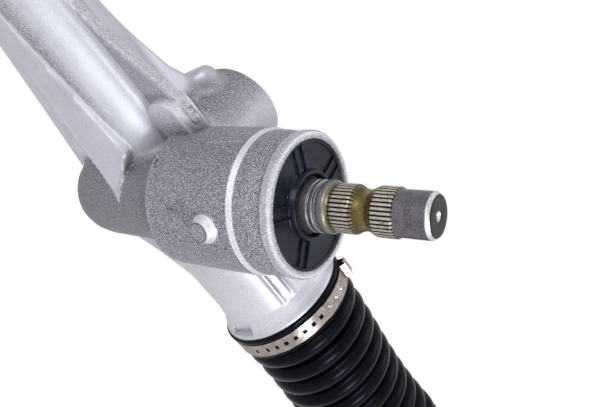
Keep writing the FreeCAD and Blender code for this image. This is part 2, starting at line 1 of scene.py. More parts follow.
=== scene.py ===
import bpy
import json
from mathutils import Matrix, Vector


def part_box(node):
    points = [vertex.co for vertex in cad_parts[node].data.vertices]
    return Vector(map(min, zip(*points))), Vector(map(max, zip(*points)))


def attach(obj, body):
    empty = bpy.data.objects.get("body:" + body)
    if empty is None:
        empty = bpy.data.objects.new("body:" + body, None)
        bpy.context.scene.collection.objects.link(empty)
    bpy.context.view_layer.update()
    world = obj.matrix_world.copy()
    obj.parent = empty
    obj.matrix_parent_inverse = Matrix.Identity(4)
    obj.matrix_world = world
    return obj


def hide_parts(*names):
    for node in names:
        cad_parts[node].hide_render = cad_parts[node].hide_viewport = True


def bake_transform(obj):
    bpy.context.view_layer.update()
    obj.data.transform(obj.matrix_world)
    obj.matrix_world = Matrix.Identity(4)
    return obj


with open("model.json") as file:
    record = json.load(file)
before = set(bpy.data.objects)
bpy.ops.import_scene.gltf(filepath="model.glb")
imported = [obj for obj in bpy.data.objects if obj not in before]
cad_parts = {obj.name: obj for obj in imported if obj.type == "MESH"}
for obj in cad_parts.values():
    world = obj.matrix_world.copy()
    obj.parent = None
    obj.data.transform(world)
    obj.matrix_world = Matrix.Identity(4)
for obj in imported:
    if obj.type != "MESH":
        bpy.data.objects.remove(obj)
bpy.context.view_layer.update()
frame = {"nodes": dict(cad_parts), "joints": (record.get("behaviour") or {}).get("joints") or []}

import json
from math import atan2, cos, hypot, pi, radians, sin

import bpy
import numpy as np
from mathutils import Matrix, Vector

# Housing: one aluminium die casting with the pinion tower, rack tube, bellows flare, yoke barrel, ribs and
# two feet. It leaves the die with rounded inner corners and a shot-blasted grain; the bearing mouth, the
# bellows seats, the yoke face and the bolt faces are machined afterwards and stay bright.

# Each mesh is drawn in millimetres about the rack axis, with x along the rack from the pinion, y from the
# pinion to the yoke and z up, and then goes to the frame's own metres.
MM = 0.001
joints = {joint["name"]: joint for joint in frame["joints"]}
SHAFT_FOOT = Vector(joints["pinion_turn"]["pos_m"])
SHAFT_LEAN = atan2(joints["pinion_turn"]["axis"][0], joints["pinion_turn"]["axis"][2])
bar_low, bar_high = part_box("rack_bar")
RACK_LINE = Vector((SHAFT_FOOT.x, (bar_low.y + bar_high.y) / 2, (bar_low.z + bar_high.z) / 2))
TO_FRAME = Matrix.Translation(RACK_LINE) @ Matrix.Scale(MM, 4)
SHAFT_WAY = Vector((sin(SHAFT_LEAN), 0, cos(SHAFT_LEAN)))
ALONG_SHAFT = Matrix.Translation((SHAFT_FOOT - RACK_LINE) / MM) @ Matrix.Rotation(SHAFT_LEAN, 4, "Y")
ALONG_RACK = Matrix.Rotation(pi / 2, 4, "Y")
ALONG_YOKE = Matrix.Rotation(-pi / 2, 4, "X")
UPRIGHT = Matrix.Identity(4)


def rack_x(metres):
    """A place along the rack, in millimetres from the pinion."""
    return (metres - RACK_LINE.x) / MM


TUBE_R = 17.5
FLARE_R = 26.0
SEAT_R = 29.2
RIGHT_END = rack_x(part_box("housing")[1].x)
LEFT_END = rack_x(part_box("housing")[0].x)
LIP = RIGHT_END - 14
LEFT_LIP = LEFT_END + 14
DRUM_R = 27.8
DRUM_BOTTOM = 17.85
RIM = 74.85
DRUM_BOSS_R = 3.75
DRUM_BOSS_TURN = radians(20.8)
DRUM_BOSS_DEPTH = 27.5
LOWER_R = 20.0
BARREL_R = 21.1
BARREL_END = 48.7
FOOT_Y = -RACK_LINE.y / MM
FOOT_X = [rack_x(0), rack_x(sum(corner.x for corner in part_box("foot_sleeve_b")) / 2)]
FOOT_R = 21.0
FOOT_HALF = 22.0
ALLOWANCE = 2.0  # metal that the machining takes off
GRID = 1.0
castings = []


def on_shaft(x, y, z):
    """Height on the pinion axis and distance from it, for points about the rack axis."""
    foot = (SHAFT_FOOT - RACK_LINE) / MM
    height = (x - foot.x) * sin(SHAFT_LEAN) + (z - foot.z) * cos(SHAFT_LEAN)
    across = (x - foot.x) * cos(SHAFT_LEAN) - (z - foot.z) * sin(SHAFT_LEAN)
    return height, np.hypot(across, y - foot.y)


def cast(lowest, highest, fillet, distance):
    """Add a form to the casting: distance(x, y, z) holds inside the box, fillet is its inner corner."""
    castings.append((lowest, highest, fillet, distance))


def casting_distance(x, y, z):
    """Distance of points from the skin of the whole casting, with its forms run into each other."""
    whole = np.full(x.shape, 40.0)
    for lowest, highest, fillet, distance in castings:
        near = np.ones(x.shape, bool)
        for values, bottom, top in zip((x, y, z), lowest, highest):
            near &= (values > bottom - fillet - 3) & (values < top + fillet + 3)
        if not near.any():
            continue
        form = distance(x[near], y[near], z[near])
        rest = whole[near]
        run = np.clip(1 - np.abs(rest - form) / fillet, 0, 1)
        whole[near] = np.minimum(rest, form) - run * run * fillet / 4
    return whole


def extruded(across, along, bottom, top, ease):
    """Distance from a solid with eased edges; across is the distance from its sides, moved in by the ease."""
    ends = np.abs(along - (bottom + top) / 2) - ((top - bottom) / 2 - ease)
    outside = np.hypot(np.maximum(across, 0), np.maximum(ends, 0))
    return outside + np.minimum(np.maximum(across, ends), 0) - ease


def bar_distance(height, radius, r, bottom, top, ease=0.5):
    """Distance from a round bar, given the height on its axis and the distance from it."""
    return extruded(radius - (r - ease), height, bottom, top, ease)


def plate_distance(u, v, w, outline, bottom, top, ease=0.8):
    """Distance from a flat plate with an outline in u and v, from w = bottom to top."""
    nearest = np.full(u.shape, 1e9)
    inside = np.zeros(u.shape, bool)
    for k, (u1, v1) in enumerate(outline):
        u0, v0 = outline[k - 1]
        du, dv = u1 - u0, v1 - v0
        t = np.clip(((u - u0) * du + (v - v0) * dv) / (du * du + dv * dv), 0, 1)
        nearest = np.minimum(nearest, np.hypot(u - u0 - t * du, v - v0 - t * dv))
        if dv:
            inside ^= ((v0 > v) != (v1 > v)) & (u < u0 + (v - v0) * du / dv)
    return extruded(np.where(inside, -nearest, nearest) + ease, w, bottom, top, ease)


# The tube's radius along the rack: it swells into the flare at one end and into a collar at the other.
TUBE_PROFILE = [(LEFT_END - 2, SEAT_R + 1.3), (LEFT_END + 17, SEAT_R + 1.3), (LEFT_END + 31, TUBE_R + 2.5),
                (LEFT_END + 44, TUBE_R), (-20, TUBE_R), (-10, TUBE_R + 0.9), (2, TUBE_R + 3.4),
                (14, TUBE_R + 6.4), (25, FLARE_R - 0.5), (34, FLARE_R), (LIP - 15, FLARE_R + 0.1),
                (LIP - 8.5, FLARE_R + 0.9), (LIP - 4, SEAT_R - 0.4), (LIP - 1, SEAT_R + 1.3),
                (RIGHT_END + 2, SEAT_R + 1.3)]
TOWER_PROFILE = [(-42.5, 0), (-41.6, 9), (-39, 13.8), (-35.5, 17), (-30.5, 19), (-25, 19.8), (-15, LOWER_R),
                 (20, LOWER_R + 0.6)]
FLARE_SLOPE = 0.93  # a sloping side is nearer than the difference of the radii, by this share
FOOT_SLOPE = 0.8


def tube_distance(x, y, z):
    """Distance from the rack tube."""
    across = (np.hypot(y, z) - np.interp(x, *zip(*TUBE_PROFILE))) * FLARE_SLOPE
    ends = np.maximum(x - RIGHT_END - ALLOWANCE, LEFT_END - ALLOWANCE - x)
    return np.maximum(across, ends)


def tower_distance(x, y, z):
    """Distance from the slim lower tower with its rounded foot."""
    height, radius = on_shaft(x, y, z)
    across = (radius - np.interp(height, *zip(*TOWER_PROFILE))) * FOOT_SLOPE
    return np.maximum(across, height - DRUM_BOTTOM - 4)


# The rack tube, the tower and the yoke barrel come first, and then the webs and ribs that tie them together.
cast((LEFT_END, -32, -32), (RIGHT_END, 32, 32), 0.1, tube_distance)
cast((-24, -34, -44), (28, 8, 24), 2.5, tower_distance)
cast((-24, -24, -24), (24, BARREL_END, 24), 4.0,
     lambda x, y, z: bar_distance(y, np.hypot(x, z), BARREL_R, 0, BARREL_END + ALLOWANCE))
YOKE_WEB = [(-112, 8), (-112, 12), (-75, 15), (-59, 19.2), (-38, 24.6), (-31, 28.6), (-22, 33), (-14, 34),
            (0, 34), (0, 8)]
cast((-112, 8, -8), (0, 34, 8), 4.0, lambda x, y, z: plate_distance(x, y, z, YOKE_WEB, -8, 8, 1.5))
TOP_RIB = [(-104, 12), (-104, 14), (-92, 17.5), (-65.5, 22.8), (-52.8, 27.2), (-39.8, 32.3), (-28, 34.8),
           (-22, 34.8), (-16, 33), (-8, 33), (-8, 12)]
cast((-104, -4, 12), (-8, 0.5, 36), 3.0, lambda x, y, z: plate_distance(x, z, y, TOP_RIB, -4, 0.5, 0.7))
FOOT_WEB = [(-122, 0), (-122, -12), (-82, -24.6), (-56, -31.2), (-24, -40.3), (-12, -43), (-8, -30), (0, 0)]
WEB_DEPTH, WEB_LEAN = 44.3, 11.25


def foot_web_distance(x, y, z):
    """Distance from the deep web under the tube, whose outer face slopes in below."""
    flat = plate_distance(x, z, y, FOOT_WEB, -17, -4, 1.0)
    slope = ((9 - 0.2844 * (x + 140) - z) * WEB_LEAN - (y + 17) * WEB_DEPTH) / hypot(WEB_DEPTH, WEB_LEAN)
    run = np.clip(1 - np.abs(flat - slope) / 2, 0, 1)
    return np.maximum(flat, slope) + run * run / 2


cast((-122, -17, -43), (0, -4, 0), 2.0, foot_web_distance)


# The gusset's two ridges: x, then y and z of the upper one, then y and z of the lower one.
GUSSET_RIDGES = np.array([
    (-112, -17.4, 1.0, -17.4, -1.0), (-88, -18.6, 1.4, -18.0, -7.2), (-59, -18.8, 3.35, -19.6, -11.0),
    (-42, -19.0, 4.6, -20.8, -12.0), (-30, -19.4, 6.0, -22.5, -11.8), (-25, -19.6, 6.5, -24.6, -9.2),
    (-12.3, -30.0, -1.9, -30.0, -2.5)])


def gusset_distance(x, y, z):
    """Distance from the thin gusset beside the tube, whose face lies between its two long ridges."""
    places, *ridges = GUSSET_RIDGES.T
    y1, z1, y2, z2 = (np.interp(x, places, ridge) for ridge in ridges)
    long = np.hypot(y2 - y1, z2 - z1)
    face = ((y - y1) * (z2 - z1) - (z - z1) * (y2 - y1)) / long
    top = -0.30 * (y - y1) + 0.954 * (z - z1)
    under = -0.447 * (y - y2) - 0.894 * (z - z2)
    return np.maximum.reduce([face, top, under, y + 6, x + 8])


cast((-114, -31, -16), (-8, -6, 8), 0.6, gusset_distance)

# A web stiffens the flare, and two feet stand out on their arms.
FLARE_WEB = [(0, 0), (0, -42), (8, -42.5), (17, -40), (30.5, -32), (45, -25.5), (50, -22), (50, 0)]
cast((0, -17, -42.5), (50, 6, 0), 5.0, lambda x, y, z: plate_distance(x, z, y, FLARE_WEB, -17, 6, 2.0))
for foot_x in FOOT_X:
    arm = [(foot_x - 26, 0), (foot_x + 26, 0), (foot_x + 15, FOOT_Y - 8), (foot_x - 15, FOOT_Y - 8)]
    cast((foot_x - 26, 0, -13), (foot_x + 26, FOOT_Y, 13), 5.0,
         lambda x, y, z, arm=arm: plate_distance(x, y, z, arm, -13, 13, 2.0))
    cast((foot_x - FOOT_R, FOOT_Y - FOOT_R, -FOOT_HALF), (foot_x + FOOT_R, FOOT_Y + FOOT_R, FOOT_HALF), 4.0,
         lambda x, y, z, foot_x=foot_x: bar_distance(z, np.hypot(x - foot_x, y - FOOT_Y), FOOT_R, -FOOT_HALF,
                                                     FOOT_HALF, 1.2))


def drum_distance(x, y, z):
    """Distance from the drum that holds the upper bearing."""
    height, radius = on_shaft(x, y, z)
    return bar_distance(height, radius, DRUM_R, DRUM_BOTTOM, RIM + ALLOWANCE, 0.7)


cast((-30, -42, 5), (58, 16, 84), 1.0, drum_distance)

# A soft pad stands at the yoke barrel's side, and two short ribs on the flare.
cast((-30, 28, -8), (-16, 43, 13), 7.0,
     lambda x, y, z: bar_distance(z, np.hypot(x + 23.3, y - 36.3), 5.2, -8, 13, 4.5))
for rib_y, rib_z, start, end in ((-16.3, 21.6, 44, 69), (-11.4, 24.9, 44, 68)):
    out = Vector((0, rib_y, rib_z)).normalized()
    crest = [(start, 23), (start, 26), (start + 2, 27.2), (end - 2, 27.4), (end, 26), (end, 23)]
    cast((start, rib_y - 3, rib_z - 4), (end, rib_y + 3, rib_z + 4), 0.8,
         lambda x, y, z, out=out, crest=crest: plate_distance(
             x, y * out.y + z * out.z, y * out.z - z * out.y, crest, -0.75, 0.75, 0.4))


def skin(step, lowest, highest):
    """Corners and four-sided faces where the casting's distance changes sign on a grid."""
    axes = [np.arange(bottom, top, step) for bottom, top in zip(lowest, highest)]
    field = np.empty([len(axis) for axis in axes])
    for k, x in enumerate(axes[0]):
        y, z = np.meshgrid(axes[1], axes[2], indexing="ij")
        field[k] = casting_distance(np.full(y.shape, x), y, z)
    inside = field < 0
    nx, ny, nz = (size - 1 for size in field.shape)
    corner_list = [np.array((a, b, c)) for a in (0, 1) for b in (0, 1) for c in (0, 1)]
    count = sum(inside[a:a + nx, b:b + ny, c:c + nz].astype(int) for a, b, c in corner_list)
    cells = np.argwhere((count > 0) & (count < 8))
    number = np.full(count.shape, -1)
    number[tuple(cells.T)] = np.arange(len(cells))
    total, crossings = np.zeros((len(cells), 3)), np.zeros((len(cells), 1))
    for first in corner_list:
        for axis in range(3):
            if first[axis]:
                continue
            second = first + np.eye(3, dtype=int)[axis]
            f0, f1 = field[tuple((cells + first).T)], field[tuple((cells + second).T)]
            crossed = (f0 < 0) != (f1 < 0)
            t = np.where(crossed, f0 / np.where(crossed, f0 - f1, 1), 0)[:, None]
            total += np.where(crossed[:, None], first + (second - first) * t, 0)
            crossings += crossed[:, None]
    corners = (cells + total / crossings) * step + np.array([axis[0] for axis in axes])
    faces = []
    for axis in range(3):
        start = inside[tuple(slice(None, -1) if k == axis else slice(None) for k in range(3))]
        stop = inside[tuple(slice(1, None) if k == axis else slice(None) for k in range(3))]
        edges = np.argwhere(start != stop)
        leaving = start[tuple(edges.T)]
        one, two = np.eye(3, dtype=int)[(axis + 1) % 3], np.eye(3, dtype=int)[(axis + 2) % 3]
        around = [number[tuple((edges - p * one - q * two).T)] for p, q in ((1, 1), (0, 1), (0, 0), (1, 0))]
        quads = np.stack(around, axis=1)
        quads[~leaving] = quads[~leaving][:, ::-1]
        faces.append(quads)
    return corners, np.concatenate(faces)


CREASE = 35  # degrees, from which an edge is drawn sharp


def finished(name, corners, faces, place=UPRIGHT, crease=CREASE):
    """An object made from corners in millimetres, shaded smooth but for its sharp edges."""
    mesh = bpy.data.meshes.new(name)
    mesh.from_pydata([tuple(corner) for corner in corners], [], [tuple(face) for face in faces])
    mesh.transform(TO_FRAME @ place)
    mesh.validate()
    mesh.polygons.foreach_set("use_smooth", [True] * len(mesh.polygons))
    mesh.set_sharp_from_angle(angle=radians(crease))
    piece = bpy.data.objects.new(name, mesh)
    bpy.context.scene.collection.objects.link(piece)
    return piece


def drawn_corners(piece):
    """The corners of a piece in the millimetres that it was drawn in."""
    metres = np.zeros(len(piece.data.vertices) * 3)
    piece.data.vertices.foreach_get("co", metres)
    return (metres.reshape(-1, 3) - np.array(RACK_LINE)) / MM


def mark_corners(piece, name, values):
    """Give each corner a number, which the piece's material reads by this name."""
    piece.data.attributes.new(name, "FLOAT", "POINT").data.foreach_set("value", values.astype(np.float32))


def face_outward(piece):
    """Turn the faces of a closed mesh so that they look out."""
    mesh = piece.data
    mesh.calc_loop_triangles()
    triangles = np.zeros(len(mesh.loop_triangles) * 3, int)
    mesh.loop_triangles.foreach_get("vertices", triangles)
    a, b, c = drawn_corners(piece)[triangles.reshape(-1, 3)].transpose(1, 0, 2)
    if np.einsum("ij,ij->i", a, np.cross(b, c)).sum() < 0:
        mesh.flip_normals()


def eased(outline, steps=4):
    """The corners of a turned outline: each (radius, height, ease) corner is rounded over its ease."""
    points = []
    for k, corner in enumerate(outline):
        here = Vector(corner[:2])
        ease = corner[2] if len(corner) > 2 else 0
        if not ease:
            points.append(here)
            continue
        before = Vector(outline[k - 1][:2]) - here
        after = Vector(outline[(k + 1) % len(outline)][:2]) - here
        start = here + before.normalized() * min(ease, 0.48 * before.length)
        end = here + after.normalized() * min(ease, 0.48 * after.length)
        for step in range(steps + 1):
            t = step / steps
            points.append(start * (1 - t) ** 2 + here * 2 * t * (1 - t) + end * t * t)
    return points


def moved(outline, r, height):
    """An outline for turning whose points were given from this radius and height."""
    return [(r + point[0], height + point[1], *point[2:]) for point in outline]


def turned(name, outline, place, around=96, shape=None, crease=CREASE):
    """A piece turned from a closed outline of (radius, height) points; shape may move its corners."""
    points = np.array([tuple(point) for point in outline])
    angle = np.arange(around) * 2 * pi / around
    radius, turn = np.meshgrid(points[:, 0], angle, indexing="ij")
    height = np.repeat(points[:, 1:2], around, axis=1)
    if shape:
        radius, height = shape(radius, height, turn)
    corners = np.stack([radius * np.cos(turn), radius * np.sin(turn), height], axis=-1).reshape(-1, 3)
    index = np.arange(len(points) * around).reshape(len(points), around)
    on_axis = points[:, 0] < 1e-6
    index[on_axis] = index[on_axis][:, :1]
    faces = []
    for row in range(len(points)):
        lower, upper = index[row - 1], index[row]
        if on_axis[row - 1] and on_axis[row]:
            continue
        for k in range(around):
            a, b, c, d = lower[k], lower[(k + 1) % around], upper[(k + 1) % around], upper[k]
            faces.append([a, b, c] if c == d else [a, c, d] if a == b else [a, b, c, d])
    used, compact = np.unique(np.concatenate(faces), return_inverse=True)
    sizes = np.cumsum([len(face) for face in faces])[:-1]
    piece = finished(name, corners[used], np.split(compact, sizes), place, crease)
    face_outward(piece)
    return piece


def machined(piece, operation, *tools):
    """Cut, or join, the tools' shapes with the piece, and keep the result as its mesh."""
    for tool in tools:
        step = piece.modifiers.new("cut", "BOOLEAN")
        step.operation = operation
        step.solver = "MANIFOLD"
        step.material_mode = "TRANSFER"
        step.object = tool
        bpy.context.view_layer.update()
        result = bpy.data.meshes.new_from_object(piece.evaluated_get(bpy.context.evaluated_depsgraph_get()))
        piece.modifiers.clear()
        piece.data = result
        bpy.data.objects.remove(tool)
    piece.data.polygons.foreach_set("use_smooth", [True] * len(piece.data.polygons))
    piece.data.set_sharp_from_angle(angle=radians(CREASE))


def casting_slope(x, y, z, reach=0.05):
    """How fast the distance from the casting grows along x, y and z."""
    return np.array([casting_distance(x + dx, y + dy, z + dz) - casting_distance(x - dx, y - dy, z - dz)
                     for dx, dy, dz in np.eye(3) * reach]) / 2 / reach


corners, faces = skin(GRID, (LEFT_END - 6, -48, -50), (RIGHT_END + 6, FOOT_Y + FOOT_R + 5, 88))
for _ in range(4):  # the corners settle on the skin
    slope = casting_slope(*corners.T)
    length = np.maximum((slope ** 2).sum(axis=0), 0.2)
    corners = corners - (np.clip(casting_distance(*corners.T) / length, -0.5, 0.5) * slope).T
housing = finished("rack_housing_casting", corners, faces)
face_outward(housing)

# Two ejector bosses stand on it with crisp edges: a tapered one on the drum, and one beside the top rib
# that runs on into the drum.
boss_foot = (SHAFT_FOOT - RACK_LINE) / MM + SHAFT_WAY * (RIM - DRUM_BOSS_DEPTH)
boss_out = (Vector((-cos(SHAFT_LEAN), 0, sin(SHAFT_LEAN))) * sin(DRUM_BOSS_TURN)
            + Vector((0, -1, 0)) * cos(DRUM_BOSS_TURN))
drum_boss = turned("drum_boss", eased(moved([
    (0, -3.5), (6.2, -3.5), (6.1, -0.3), (5.2, 0.6, 1.2), (DRUM_BOSS_R, 3.7, 0.3), (3.0, 3.7),
    (0, 3.7)], 0, DRUM_R)),
    Matrix.Translation(boss_foot) @ boss_out.to_track_quat("Z", "Y").to_matrix().to_4x4(), 64)
RIB_BOSS_X, RIB_BOSS_Z, RIB_BOSS_R = -28, 26.5, 7.5
corners = []
for y, inset in ((2, 0), (-8.1, 0), (-8.4, 0.12), (-8.5, 0.4)):
    around = [(RIB_BOSS_X + (RIB_BOSS_R - inset) * cos(radians(turn)),
               RIB_BOSS_Z + (RIB_BOSS_R - inset) * sin(radians(turn))) for turn in range(90, 301, 6)]
    corners += [(x, y, z) for x, z in [*around, (-14, 21 + inset), (-14, 34 - inset)]]
count = len(corners) // 4
faces = [tuple(range(count)), tuple(range(4 * count - 1, 3 * count - 1, -1))]
for layer in range(3):
    for k in range(count):
        a, b = layer * count + k, layer * count + (k + 1) % count
        faces.append((a, a + count, b + count, b))
rib_boss = finished("rib_boss", corners, faces)
face_outward(rib_boss)


def linear(colour):
    """The linear colour of an sRGB hex value."""
    values = [int(colour[k:k + 2], 16) / 255 for k in (1, 3, 5)]
    return [v / 12.92 if v <= 0.04045 else ((v + 0.055) / 1.055) ** 2.4 for v in values] + [1.0]


def add_node(tree, kind, settings=None, **sockets):
    """A shader node with its settings. Each socket gets a value, or a link to an output or to a node's own
    live output; a Mix node always mixes colours."""
    made = tree.nodes.new("ShaderNode" + kind)
    if kind == "Mix":
        made.data_type = "RGBA"
    for name, value in (settings or {}).items():
        if name != "stops":
            setattr(made, name, value)
            continue
        for stop, (place, colour) in enumerate(value):
            element = made.color_ramp.elements[stop] if stop < 2 else made.color_ramp.elements.new(place)
            element.position = place
            element.color = linear(colour)
    for name, value in sockets.items():
        socket = made.inputs[int(name[1:])] if name[1:].isdigit() else made.inputs[name.replace("_", " ")]
        if isinstance(value, bpy.types.Node):
            value = next(output for output in value.outputs if output.enabled)
        if isinstance(value, bpy.types.NodeSocket):
            tree.links.new(value, socket)
        else:
            socket.default_value = value
    return made


def new_material(name):
    """An empty material and its node tree."""
    material = bpy.data.materials.new(name)
    material.use_nodes = True
    material.node_tree.nodes.clear()
    return material, material.node_tree


# Marks on the casting, by place: pores low on the drum and patches of dirt, each with its reach, and
# scratches, each with its two ends, the way that the skin faces there, and its colour.
PORES = [((-19.5, -22.6, 26.9), 0.9), ((-19.1, -24.0, 26.3), 0.7), ((-18.4, -24.9, 27.4), 0.5)]
SMUDGES = [((-5.0, -36.2, 39.5), 4.0), ((-5.8, -36.4, 34.5), 3.5), ((-25.5, -0.6, 34.8), 5.0)]
SCRATCHES = [((1.1, -40.2, 25.7), (1.7, -40.1, 29.6), (-0.2, -0.98, 0.06), "#45444a"),
             ((-6.9, -36.2, 32.0), (-5.2, -36.4, 37.3), (-0.46, -0.88, 0.12), "#45444a"),
             ((-2.9, -30.2, 70.3), (-0.8, -31.5, 73.9), (-0.7, -0.7, 0.2), "#4d4c53"),
             ((-16.0, -13.4, 46.0), (-11.6, -12.0, 61.3), (-0.96, 0.0, 0.27), "#c4c3ce"),
             ((-11.8, -20.4, 57.2), (-11.4, -18.2, 60.5), (-0.94, -0.22, 0.26), "#4d4c53"),
             ((-20.8, 26.3, 3.7), (-9.2, 14.0, 19.0), (-0.41, -0.58, 0.70), "#55545b")]

# Die-cast aluminium alloy, shot blasted: a satin blue-grey metal whose fine dimples sparkle, coarser and
# darker on the drum, the darkness partly painted shade, rubbed bright on its rim, and with a painted
# highlight on its bevel. The dimples are 0.1 to 0.3 mm across and are drawn 0.35 mm across, so that they
# show.
casting_metal, tree = new_material("die_cast_aluminium")
place = add_node(tree, "TexCoord").outputs["Object"]
grain_and_shade, rubbed_and_highlit, ridge, painted_shade = (add_node(tree, "Attribute", {"attribute_name": name}).outputs["Fac"]
                                   for name in ("grain_and_shade", "rubbed_and_highlit", "ridge", "painted_shade"))
grain = add_node(tree, "TexNoise", Vector=place, Scale=1 / (0.35 * MM), Detail=1.0, Roughness=0.6)
cloud = add_node(tree, "TexNoise", Vector=place, Scale=1 / (16 * MM), Detail=5.0, Roughness=0.6)
smooth_tone = add_node(tree, "ValToRGB", {"stops": ((0.3, "#bdbeca"), (0.7, "#d0d1dd"))}, Fac=cloud)
grain_tone = add_node(tree, "ValToRGB", {"stops": ((0.34, "#403f49"), (0.5, "#7f7e89"), (0.66, "#cbcad5"))},
                      Fac=grain)
rubbed_and_highlight_tone = add_node(tree, "ValToRGB", {"stops": ((0.36, "#bdbdc6"), (0.6, "#e6e6ee"))}, Fac=grain)
# Painted shade: the darker grain tone darkens the places where the grain is made strong for shade.
tone = add_node(tree, "Mix", Factor=grain_and_shade, _6=smooth_tone, _7=grain_tone)
# Painted highlight: the bright tone on the edges, bevel, boss flank and flare; on the rim it is rubbed metal.
edge = add_node(tree, "MapRange", Value=ridge, From_Min=0.06, From_Max=0.4, To_Max=0.45)
worn_and_highlit = add_node(tree, "Math", {"operation": "MAXIMUM"}, _0=rubbed_and_highlit, _1=edge)
tone = add_node(tree, "Mix", Factor=worn_and_highlit, _6=tone, _7=rubbed_and_highlight_tone)
# Painted shade: a dark tone in the inner corners, at the drum's lower edge, round the boss's end and under
# the drum.
painted_shade_amount = add_node(tree, "MapRange", Value=painted_shade, From_Min=0.1, From_Max=0.75, To_Max=0.9)
tone = add_node(tree, "Mix", Factor=painted_shade_amount, _6=tone, _7=linear("#55545c"))
for pore, reach in PORES:
    away = add_node(tree, "VectorMath", {"operation": "DISTANCE"}, _0=place, _1=TO_FRAME @ Vector(pore))
    dark = add_node(tree, "MapRange", Value=away, From_Min=reach * MM, From_Max=0.5 * reach * MM,
                    To_Max=0.75)
    tone = add_node(tree, "Mix", Factor=dark, _6=tone, _7=linear("#2b2a2e"))
for smudge, reach in SMUDGES:
    away = add_node(tree, "VectorMath", {"operation": "DISTANCE"}, _0=place, _1=TO_FRAME @ Vector(smudge))
    near = add_node(tree, "MapRange", Value=away, From_Min=reach * MM, From_Max=0.0)
    dirt = add_node(tree, "TexNoise", Vector=place, Scale=1 / (2.5 * MM), Detail=4.0, Roughness=0.7)
    dirty = add_node(tree, "MapRange", Value=dirt, From_Min=0.46, From_Max=0.62)
    dark = add_node(tree, "Math", {"operation": "MULTIPLY"}, _0=near, _1=dirty)
    tone = add_node(tree, "Mix", Factor=dark, _6=tone, _7=linear("#37342f"))
for start, end, out, colour in SCRATCHES:
    middle = TO_FRAME @ ((Vector(start) + Vector(end)) / 2)
    long = (Vector(end) - Vector(start)).length
    offset = add_node(tree, "VectorMath", {"operation": "SUBTRACT"}, _0=place, _1=middle)
    beside = add_node(tree, "VectorMath", {"operation": "DOT_PRODUCT"}, _0=offset,
                      _1=(Vector(end) - Vector(start)).cross(Vector(out)).normalized())
    aside = add_node(tree, "Math", {"operation": "ABSOLUTE"}, _0=beside)
    line = add_node(tree, "MapRange", Value=aside, From_Min=0.28 * MM, From_Max=0.1 * MM, To_Max=0.8)
    far = add_node(tree, "VectorMath", {"operation": "LENGTH"}, _0=offset)
    within = add_node(tree, "MapRange", Value=far, From_Min=0.55 * long * MM, From_Max=0.4 * long * MM)
    mark = add_node(tree, "Math", {"operation": "MULTIPLY"}, _0=line, _1=within)
    tone = add_node(tree, "Mix", Factor=mark, _6=tone, _7=linear(colour))
depth = add_node(tree, "MapRange", Value=grain_and_shade, To_Min=0.10, To_Max=0.6)
bump = add_node(tree, "Bump", Height=grain, Strength=depth, Distance=0.2 * MM)
sheen = add_node(tree, "MapRange", Value=grain_and_shade, To_Min=0.42, To_Max=0.55)
metal = add_node(tree, "BsdfPrincipled", Base_Color=tone, Metallic=0.4, Roughness=sheen, Normal=bump)
add_node(tree, "OutputMaterial", Surface=metal)
housing.data.materials.append(casting_metal)

# Machined aluminium: bright, with a fine grain. The tool's rings are some 0.2 mm apart, too fine to show,
# and are drawn as a mottle of 0.5 mm.
machined_metal, tree = new_material("machined_aluminium")
place = add_node(tree, "TexCoord").outputs["Object"]
fine = add_node(tree, "TexNoise", Vector=place, Scale=1 / (0.5 * MM), Detail=2.0)
bump = add_node(tree, "Bump", Height=fine, Strength=0.15, Distance=0.1 * MM)
tone = add_node(tree, "ValToRGB", {"stops": ((0.3, "#b4b5bc"), (0.7, "#cfd0d7"))}, Fac=fine)
metal = add_node(tree, "BsdfPrincipled", Base_Color=tone, Metallic=0.8, Roughness=0.36, Normal=bump)
add_node(tree, "OutputMaterial", Surface=metal)

# Cut after casting, and so bright: the bores, the two stops for the joint sockets, the seats and the faces.
RACK_BORE_R = 13.2
STOP_R = 20.0
STOP_DEPTH = 12.0
FOOT_BORE_R = 16.0
OVER = 5.0  # how far a cutter starts outside the metal


def cutter(name, r, start, end, place, around=96):
    """A round cutter for a straight bore or a flat face, from start to end on its axis."""
    return turned(name, [(0, start), (r, start), (r, end), (0, end)], place, around)


def block(name, corners, place=UPRIGHT):
    """A six-sided piece; its eight corners run low then high in each way, the third way the quickest."""
    sides = [(0, 1, 3, 2), (4, 6, 7, 5), (0, 4, 5, 1), (2, 3, 7, 6), (0, 2, 6, 4), (1, 5, 7, 3)]
    piece = finished(name, corners, sides, place)
    face_outward(piece)
    return piece


# The drum's bevel, collar and flanged rim are in the die, so this cut keeps the casting's skin.
mouth = turned("mouth_tool", eased(moved([
    (-0.9, -15.0), (-0.85, -15.2), (-0.15, -17.2), (-0.08, -17.4), (0.5, -19.0), (9, -19.0), (9, 6),
    (-DRUM_R, 6), (-DRUM_R, 0), (-1.6, 0), (-1.5, -0.1), (-0.9, -0.8, 0.3), (-0.9, -3.2, 0.4),
    (-0.95, -3.5, 0.2), (-2.1, -4.6, 0.7), (-1.4, -7.4, 1.0), (-0.9, -10.4, 0.8)], DRUM_R, RIM)),
    ALONG_SHAFT, 144)
seat_tools = []
AGAINST_RACK = Matrix.Rotation(-pi / 2, 4, "Y")
for end, lip, place in ((RIGHT_END, LIP, ALONG_RACK), (-LEFT_END, -LEFT_LIP, AGAINST_RACK)):
    seat_tools.append(turned("seat_tool", [
        (SEAT_R, lip), (SEAT_R + 9, lip), (SEAT_R + 9, end + 6), (0, end + 6), (0, end), (SEAT_R - 1, end),
        (SEAT_R, end - 1)], place, 144))
